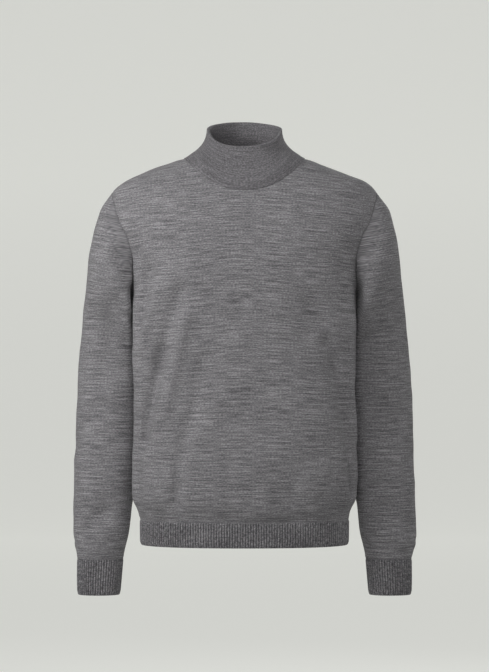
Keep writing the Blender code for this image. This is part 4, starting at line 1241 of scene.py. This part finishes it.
def knit_material(name, dark, middle, light, ribbed, streaks=1.0):
    """Matt melange wool: pale and dark fibres drawn out along the courses, over fine stitches, with
    painted shade in the valleys of ribs.
    """
    material, tree, shader = new_material(name, CLOTH_ROUGHNESS, CLOTH_SHINE)
    shader.inputs["Sheen Weight"].default_value = FUZZ
    shader.inputs["Sheen Roughness"].default_value = FUZZ_ROUGHNESS
    knit_node = tree.nodes.new("ShaderNodeUVMap")
    knit_node.uv_map = KNIT_MAP
    knit = knit_node.outputs["UV"]

    parts = []
    for *noise, weight, is_streak in RIB_MELANGE if ribbed else JERSEY_MELANGE:
        weight *= streaks if is_streak else 1.0
        parts.append((knit_noise(tree, knit, *noise), weight))
    colour = colour_ramp(tree, weighted(tree, parts), ((0.0, dark), (0.5, middle), (1.0, light)))

    width, course = (RIB_PITCH, RIB_COURSE_HEIGHT) if ribbed else (WALE_WIDTH, COURSE_HEIGHT)
    stitches = stitch_height(tree, knit, width, course)
    fibres = math_node(tree, "MULTIPLY", knit_noise(tree, knit, *FIBRE_NOISE), FIBRE_SHARE)
    bump = tree.nodes.new("ShaderNodeBump")
    bump.inputs["Strength"].default_value = BUMP_STRENGTH
    bump.inputs["Distance"].default_value = BUMP_DISTANCE
    tree.links.new(math_node(tree, "ADD", stitches, fibres), bump.inputs["Height"])
    tree.links.new(bump.outputs[0], shader.inputs["Normal"])

    # Painted shade: the rib's colour darkens towards the bottom of each valley.
    if ribbed:
        split = tree.nodes.new("ShaderNodeSeparateXYZ")
        tree.links.new(knit, split.inputs[0])
        off_middle = off_rib_middle(tree, split.outputs[0], RIB_PITCH)
        valley = math_node(tree, "POWER", off_middle, VALLEY_SHARPNESS)
        shade = math_node(tree, "MULTIPLY", valley, VALLEY_PAINTED_SHADE)
        colour = scaled(tree, colour, math_node(tree, "SUBTRACT", 1.0, shade))
    tree.links.new(colour, shader.inputs["Base Color"])
    return material


def yarn_material(name, colour):
    """Plain wool yarn of the seams."""
    material, tree, shader = new_material(name, CLOTH_ROUGHNESS, CLOTH_SHINE)
    place = tree.nodes.new("ShaderNodeTexCoord")
    noise = tree.nodes.new("ShaderNodeTexNoise")
    noise.inputs["Scale"].default_value = YARN_GRAIN
    noise.inputs["Detail"].default_value = 1.0
    tree.links.new(place.outputs["Object"], noise.inputs["Vector"])
    stops = [(position, tuple(brightness * c for c in colour[:3]) + (1.0,))
             for position, brightness in YARN_STOPS]
    tree.links.new(colour_ramp(tree, noise.outputs["Fac"], stops), shader.inputs["Base Color"])
    return material


# ---- the pieces -----------------------------------------------------------------------------
def place_piece(piece, node=None):
    """The piece rides on the sweater's only body and stands for its solid."""
    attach(piece, "root")
    if node:
        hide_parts(node)
    return piece


def flap_distance(points, front):
    """How far panel points lie outside the flap's free edge; inside the edge it is negative."""
    middle = collar()[0]
    edge = middle[-1]
    gap = np.full(points.shape[:2], np.inf)
    for corner in edge:
        gap = np.minimum(gap, np.linalg.norm(points - corner, axis=-1))
    across = np.minimum(np.abs(points[..., 0]) / FLAP_HALF_WIDTH, 1.0)
    drop = FLAP_FRONT_DROP * (1.0 - across ** FLAP_ROUNDNESS) if front else 0.0
    inside = (points[..., 2] > FLAP_SIDE_HEIGHT - drop) & (across < 1.0)
    return np.where(inside, -gap, gap)


def make_panels(jersey):
    """Front and back panels."""
    for name, front in (("front_panel", True), ("back_panel", False)):
        turns, heights = body_panel(front)
        outward = way_out(body_point, turns, heights)
        points = body_point(turns, heights)
        base = body_base(turns, heights)
        base_outward = way_out(body_base, turns, heights)
        lean = WALE_LEAN_SHOULDER * np.maximum(base_outward[..., 2], 0.0)
        lean = lean if front else -lean
        lead = np.stack([0.0 * lean, lean, 1.0 + 0.0 * lean], axis=-1)
        across, up = knit_map(base, base_outward, lead, False)
        hang = COURSE_HANG * smooth_step((heights - HEM_SEAM_HEIGHT) / COURSE_HANG_REACH)
        up = up + hang * np.hypot(base[..., 0], COURSE_HANG_MIDDLE)
        fade = smooth_step((heights - HEM_SEAM_HEIGHT) / HEM_BLOUSE_HEIGHT)
        crease = fold_height(BODY_CREASES, turns, heights, BODY_FOLD_RADIUS)
        gather = sum(np.sin(np.radians(turns) * count + count) for count in GATHER_COUNTS)
        above = heights - HEM_SEAM_HEIGHT
        gather = (GATHER_HEIGHT * gather / len(GATHER_COUNTS)
                  * smooth_step(above / DIP_WIDTH / GATHER_START)
                  * np.exp(-(above / GATHER_REACH) ** 2))
        beyond = flap_distance(points, front)
        calm = away_from_edges(points, False) * smooth_step(beyond / CALM_UNDER_FLAP)
        dip = edge_dip(points, bottom=HEM_DIP, sides=SIDE_SEAM_DIP)
        lift = crease * fade + cloth_waves(points) * calm + gather - dip
        outer = points + outward * lift[..., None]
        piece = shell(name + "_cloth", outer, outward, JERSEY_WALL, False, across, up, jersey)
        smooth(piece)
        place_piece(piece, name)


def make_hems(rib, tree):
    """The two halves of the ribbed hem."""
    for name, front in (("hem_front", True), ("hem_back", False)):
        turns, heights = hem(front)
        points = body_base(turns, heights)
        outward = way_out(body_base, turns, heights)
        above = distance_along(points, 0)
        top = above[-1:] - above
        dip = edge_dip(points, top=HEM_DIP, sides=SIDE_SEAM_DIP)
        across = rib_girth(*points.shape[:2])
        from_side = np.minimum(across, across[:, -1:] - across)
        proud = (smooth_step(top / RIB_END_WIDTH)
                 * smooth_step((above + RIB_FREE_START) / RIB_END_WIDTH)
                 * smooth_step(from_side / HEM_PLAIN_END))
        outer = points - outward * dip[..., None]
        piece = ribbed_shell(name + "_cloth", outer, outward, False, across, above, proud, tree,
                             rib)
        place_piece(piece, name)


def make_sleeve(side, word, folds, creases, jersey, yarn, stitches):
    """A sleeve and the linking stitches of its armhole."""
    points = sleeve(side, folds, creases)
    outward = -side * grid_normals(points, True)
    base = sleeve(side, (), ())
    base_outward = -side * grid_normals(base, True)
    share = np.linspace(0.0, 1.0, len(points))
    lean = -side * (WALE_LEAN_CUFF + (WALE_LEAN_CAP - WALE_LEAN_CUFF)
                    * (1.0 - smooth_step(share / WALE_LEAN_REACH)))
    lead = np.stack([lean, 0.0 * lean, 1.0 + 0.0 * lean], axis=-1)[:, None, :]
    across, up = knit_map(base[::-1], base_outward[::-1], lead[::-1], True)
    across, up = across[::-1], up[::-1]
    dip = edge_dip(points, bottom=ARMHOLE_DIP, top=CUFF_DIP)
    lift = cloth_waves(points) * away_from_edges(points, True) - dip
    outer = points + outward * lift[..., None]
    name = "sleeve_" + word
    piece = shell(name + "_cloth", outer, outward, JERSEY_WALL, True, across, up, jersey)
    smooth(piece)
    place_piece(piece, name)
    line = seam_line("armhole_stitches_" + word, *armhole_loop(side, ARMHOLE_SHARES), True,
                     stitches, yarn)
    place_piece(line)


def make_cuff(side, word, rib, yarn, ribs, stitches):
    """A ribbed cuff and the linking stitches that join it to its sleeve."""
    points = cuff(side)
    outward = -side * grid_normals(points, True)
    below = distance_along(points, 0)
    dip = edge_dip(points, bottom=CUFF_DIP)
    proud = (smooth_step(below / RIB_END_WIDTH)
             * smooth_step((below[-1:] - below + RIB_FREE_START) / RIB_END_WIDTH))
    across = rib_girth(points.shape[0], points.shape[1] + 1)
    up = -np.concatenate((below, below[:, :1]), axis=1)
    outer = points - outward * dip[..., None]
    name = "cuff_" + word
    piece = ribbed_shell(name + "_cloth", outer, outward, True, across, up, proud, ribs, rib)
    place_piece(piece, name)
    line = seam_line("cuff_stitches_" + word, points[0], outward[0], True, stitches, yarn,
                     Spacing=CUFF_LINK_SPACING, Length=CUFF_LINK_LENGTH,
                     Width=CUFF_LINK_WIDTH, Lean=CUFF_LINK_LEAN)
    place_piece(line)


def make_collar(jersey):
    """The collar, folded down over itself, with a narrow welt along its free edge."""
    middle, normals = collar()
    along = distance_along(middle, 0)
    from_edge = along[-1:] - along
    turns = np.linspace(0.0, 360.0, middle.shape[1], endpoint=False)[None, :]
    crease = fold_height(COLLAR_CREASES, turns, from_edge, COLLAR_RADIUS)
    calm = smooth_step(along / CALM_WIDTH) * smooth_step(from_edge / FLAP_EDGE_WIDTH)
    near_edge = smooth_step(1.0 - from_edge / FLAP_EDGE_WIDTH)
    lift = (crease + COLLAR_WAVE_SHARE * cloth_waves(middle)) * calm - FLAP_EDGE_DROP * near_edge
    middle = middle + normals * lift[..., None]
    wall = (JERSEY_WALL + (FLAP_EDGE_WALL - JERSEY_WALL) * near_edge)[..., None]
    welt = (WELT_RISE * np.exp(-(from_edge / WELT_FROM_EDGE * 2.0) ** 2)
            - WELT_DEPTH * np.exp(-((from_edge - WELT_FROM_EDGE) / WELT_WIDTH) ** 2))
    outer = middle + normals * (wall / 2.0 + welt[..., None])
    looped = np.concatenate((middle, middle[:, :1]), axis=1)
    across = distance_along(looped, 1)
    across = across / across[:, -1:] * across[:, -1].mean()
    mapped_up = np.broadcast_to(along.mean(axis=1)[:, None], across.shape)
    piece = shell("collar_cloth", outer, normals, wall + welt[..., None], True, across,
                  mapped_up, jersey)
    smooth(piece)
    place_piece(piece, "collar")


def make_stage():
    """A pale floor that sweeps up to a wall far behind the sweater and to another far in front.
    It glows from a little way behind the sweater on, so that it looks evenly lit."""
    sweep = []
    for angle in np.linspace(0.0, np.pi / 2.0, SWEEP_SPACES + 1):
        sweep.append((FLOOR_REACH + SWEEP_RADIUS * np.sin(angle),
                      FLOOR_HEIGHT + SWEEP_RADIUS * (1.0 - np.cos(angle))))
    sweep.append((FLOOR_REACH + SWEEP_RADIUS, WALL_TOP))
    profile = [(-y, z) for y, z in reversed(sweep)] + sweep
    points = [(x, y, z) for y, z in profile for x in (-FLOOR_HALF_WIDTH, FLOOR_HALF_WIDTH)]
    faces = [(2 * i, 2 * i + 1, 2 * i + 3, 2 * i + 2) for i in range(len(profile) - 1)]
    data = bpy.data.meshes.new("floor")
    data.from_pydata(points, [], faces)
    data.shade_smooth()
    material, tree, shader = new_material("pale_floor", 1.0, 0.0)
    shader.inputs["Base Color"].default_value = BACKDROP_COLOUR
    shader.inputs["Emission Color"].default_value = BACKDROP_GLOW
    place = tree.nodes.new("ShaderNodeTexCoord")
    split = tree.nodes.new("ShaderNodeSeparateXYZ")
    tree.links.new(place.outputs["Object"], split.inputs[0])
    behind = math_node(tree, "SUBTRACT", split.outputs["Y"], GLOW_START)
    glow = math_node(tree, "DIVIDE", behind, GLOW_WHOLE - GLOW_START, clamp=True)
    tree.links.new(glow, shader.inputs["Emission Strength"])
    data.materials.append(material)
    add_object("floor", data)


def make_light(name, place, width, power):
    """A square soft box turned to the middle of the sweater, that the camera doesn't see."""
    light = bpy.data.lights.new(name, "AREA")
    light.shape = "SQUARE"
    light.size = width
    light.energy = power
    box = add_object(name, light)
    box.location = place
    way = Vector(SWEATER_MIDDLE) - Vector(place)
    box.rotation_euler = way.to_track_quat("-Z", "Y").to_euler()
    box.visible_camera = False


def make_studio():
    """Soft boxes in front, above, on both sides and behind, a faint even room and the camera."""
    world = bpy.data.worlds.new("studio")
    world.use_nodes = True
    room = world.node_tree.nodes["Background"]
    room.inputs["Color"].default_value = ROOM_COLOUR
    room.inputs["Strength"].default_value = ROOM_LIGHT
    bpy.context.scene.world = world
    for name, place, width, power in LIGHTS:
        make_light(name, place, width, power)
    camera = bpy.data.cameras.new("camera")
    camera.sensor_fit = "VERTICAL"
    camera.sensor_height = FILM_HEIGHT
    camera.lens = FILM_HEIGHT * -CAMERA_PLACE[1] / VIEW_HEIGHT
    view = add_object("camera", camera)
    view.location = CAMERA_PLACE
    view.rotation_euler = (np.pi / 2.0, 0.0, 0.0)
    bpy.context.scene.camera = view
    bpy.context.scene.view_settings.view_transform = "Standard"


def main():
    """The cloth, piece by piece, then the stage and the studio."""
    jersey = knit_material("fine_jersey", JERSEY_DARK, JERSEY_MIDDLE, JERSEY_LIGHT, False)
    # The collar's jersey: fewer streaks, and darker colours that are partly painted shade.
    collar_jersey_shaded = knit_material("collar_jersey_painted_shade", COLLAR_SHADED_DARK, COLLAR_SHADED_MIDDLE, COLLAR_SHADED_LIGHT, False,
                          COLLAR_STREAKS)
    rib = knit_material("knitted_rib", RIB_DARK, RIB_MIDDLE, RIB_LIGHT, True)
    yarn = yarn_material("linking_yarn", JERSEY_MIDDLE)
    ribs = rib_tree()
    stitches = link_tree()
    make_panels(jersey)
    make_hems(rib, ribs)
    for side, word, folds, creases in SLEEVES:
        make_sleeve(side, word, folds, creases, jersey, yarn, stitches)
        make_cuff(side, word, rib, yarn, ribs, stitches)
    make_collar(collar_jersey_shaded)
    make_stage()
    make_studio()


main()
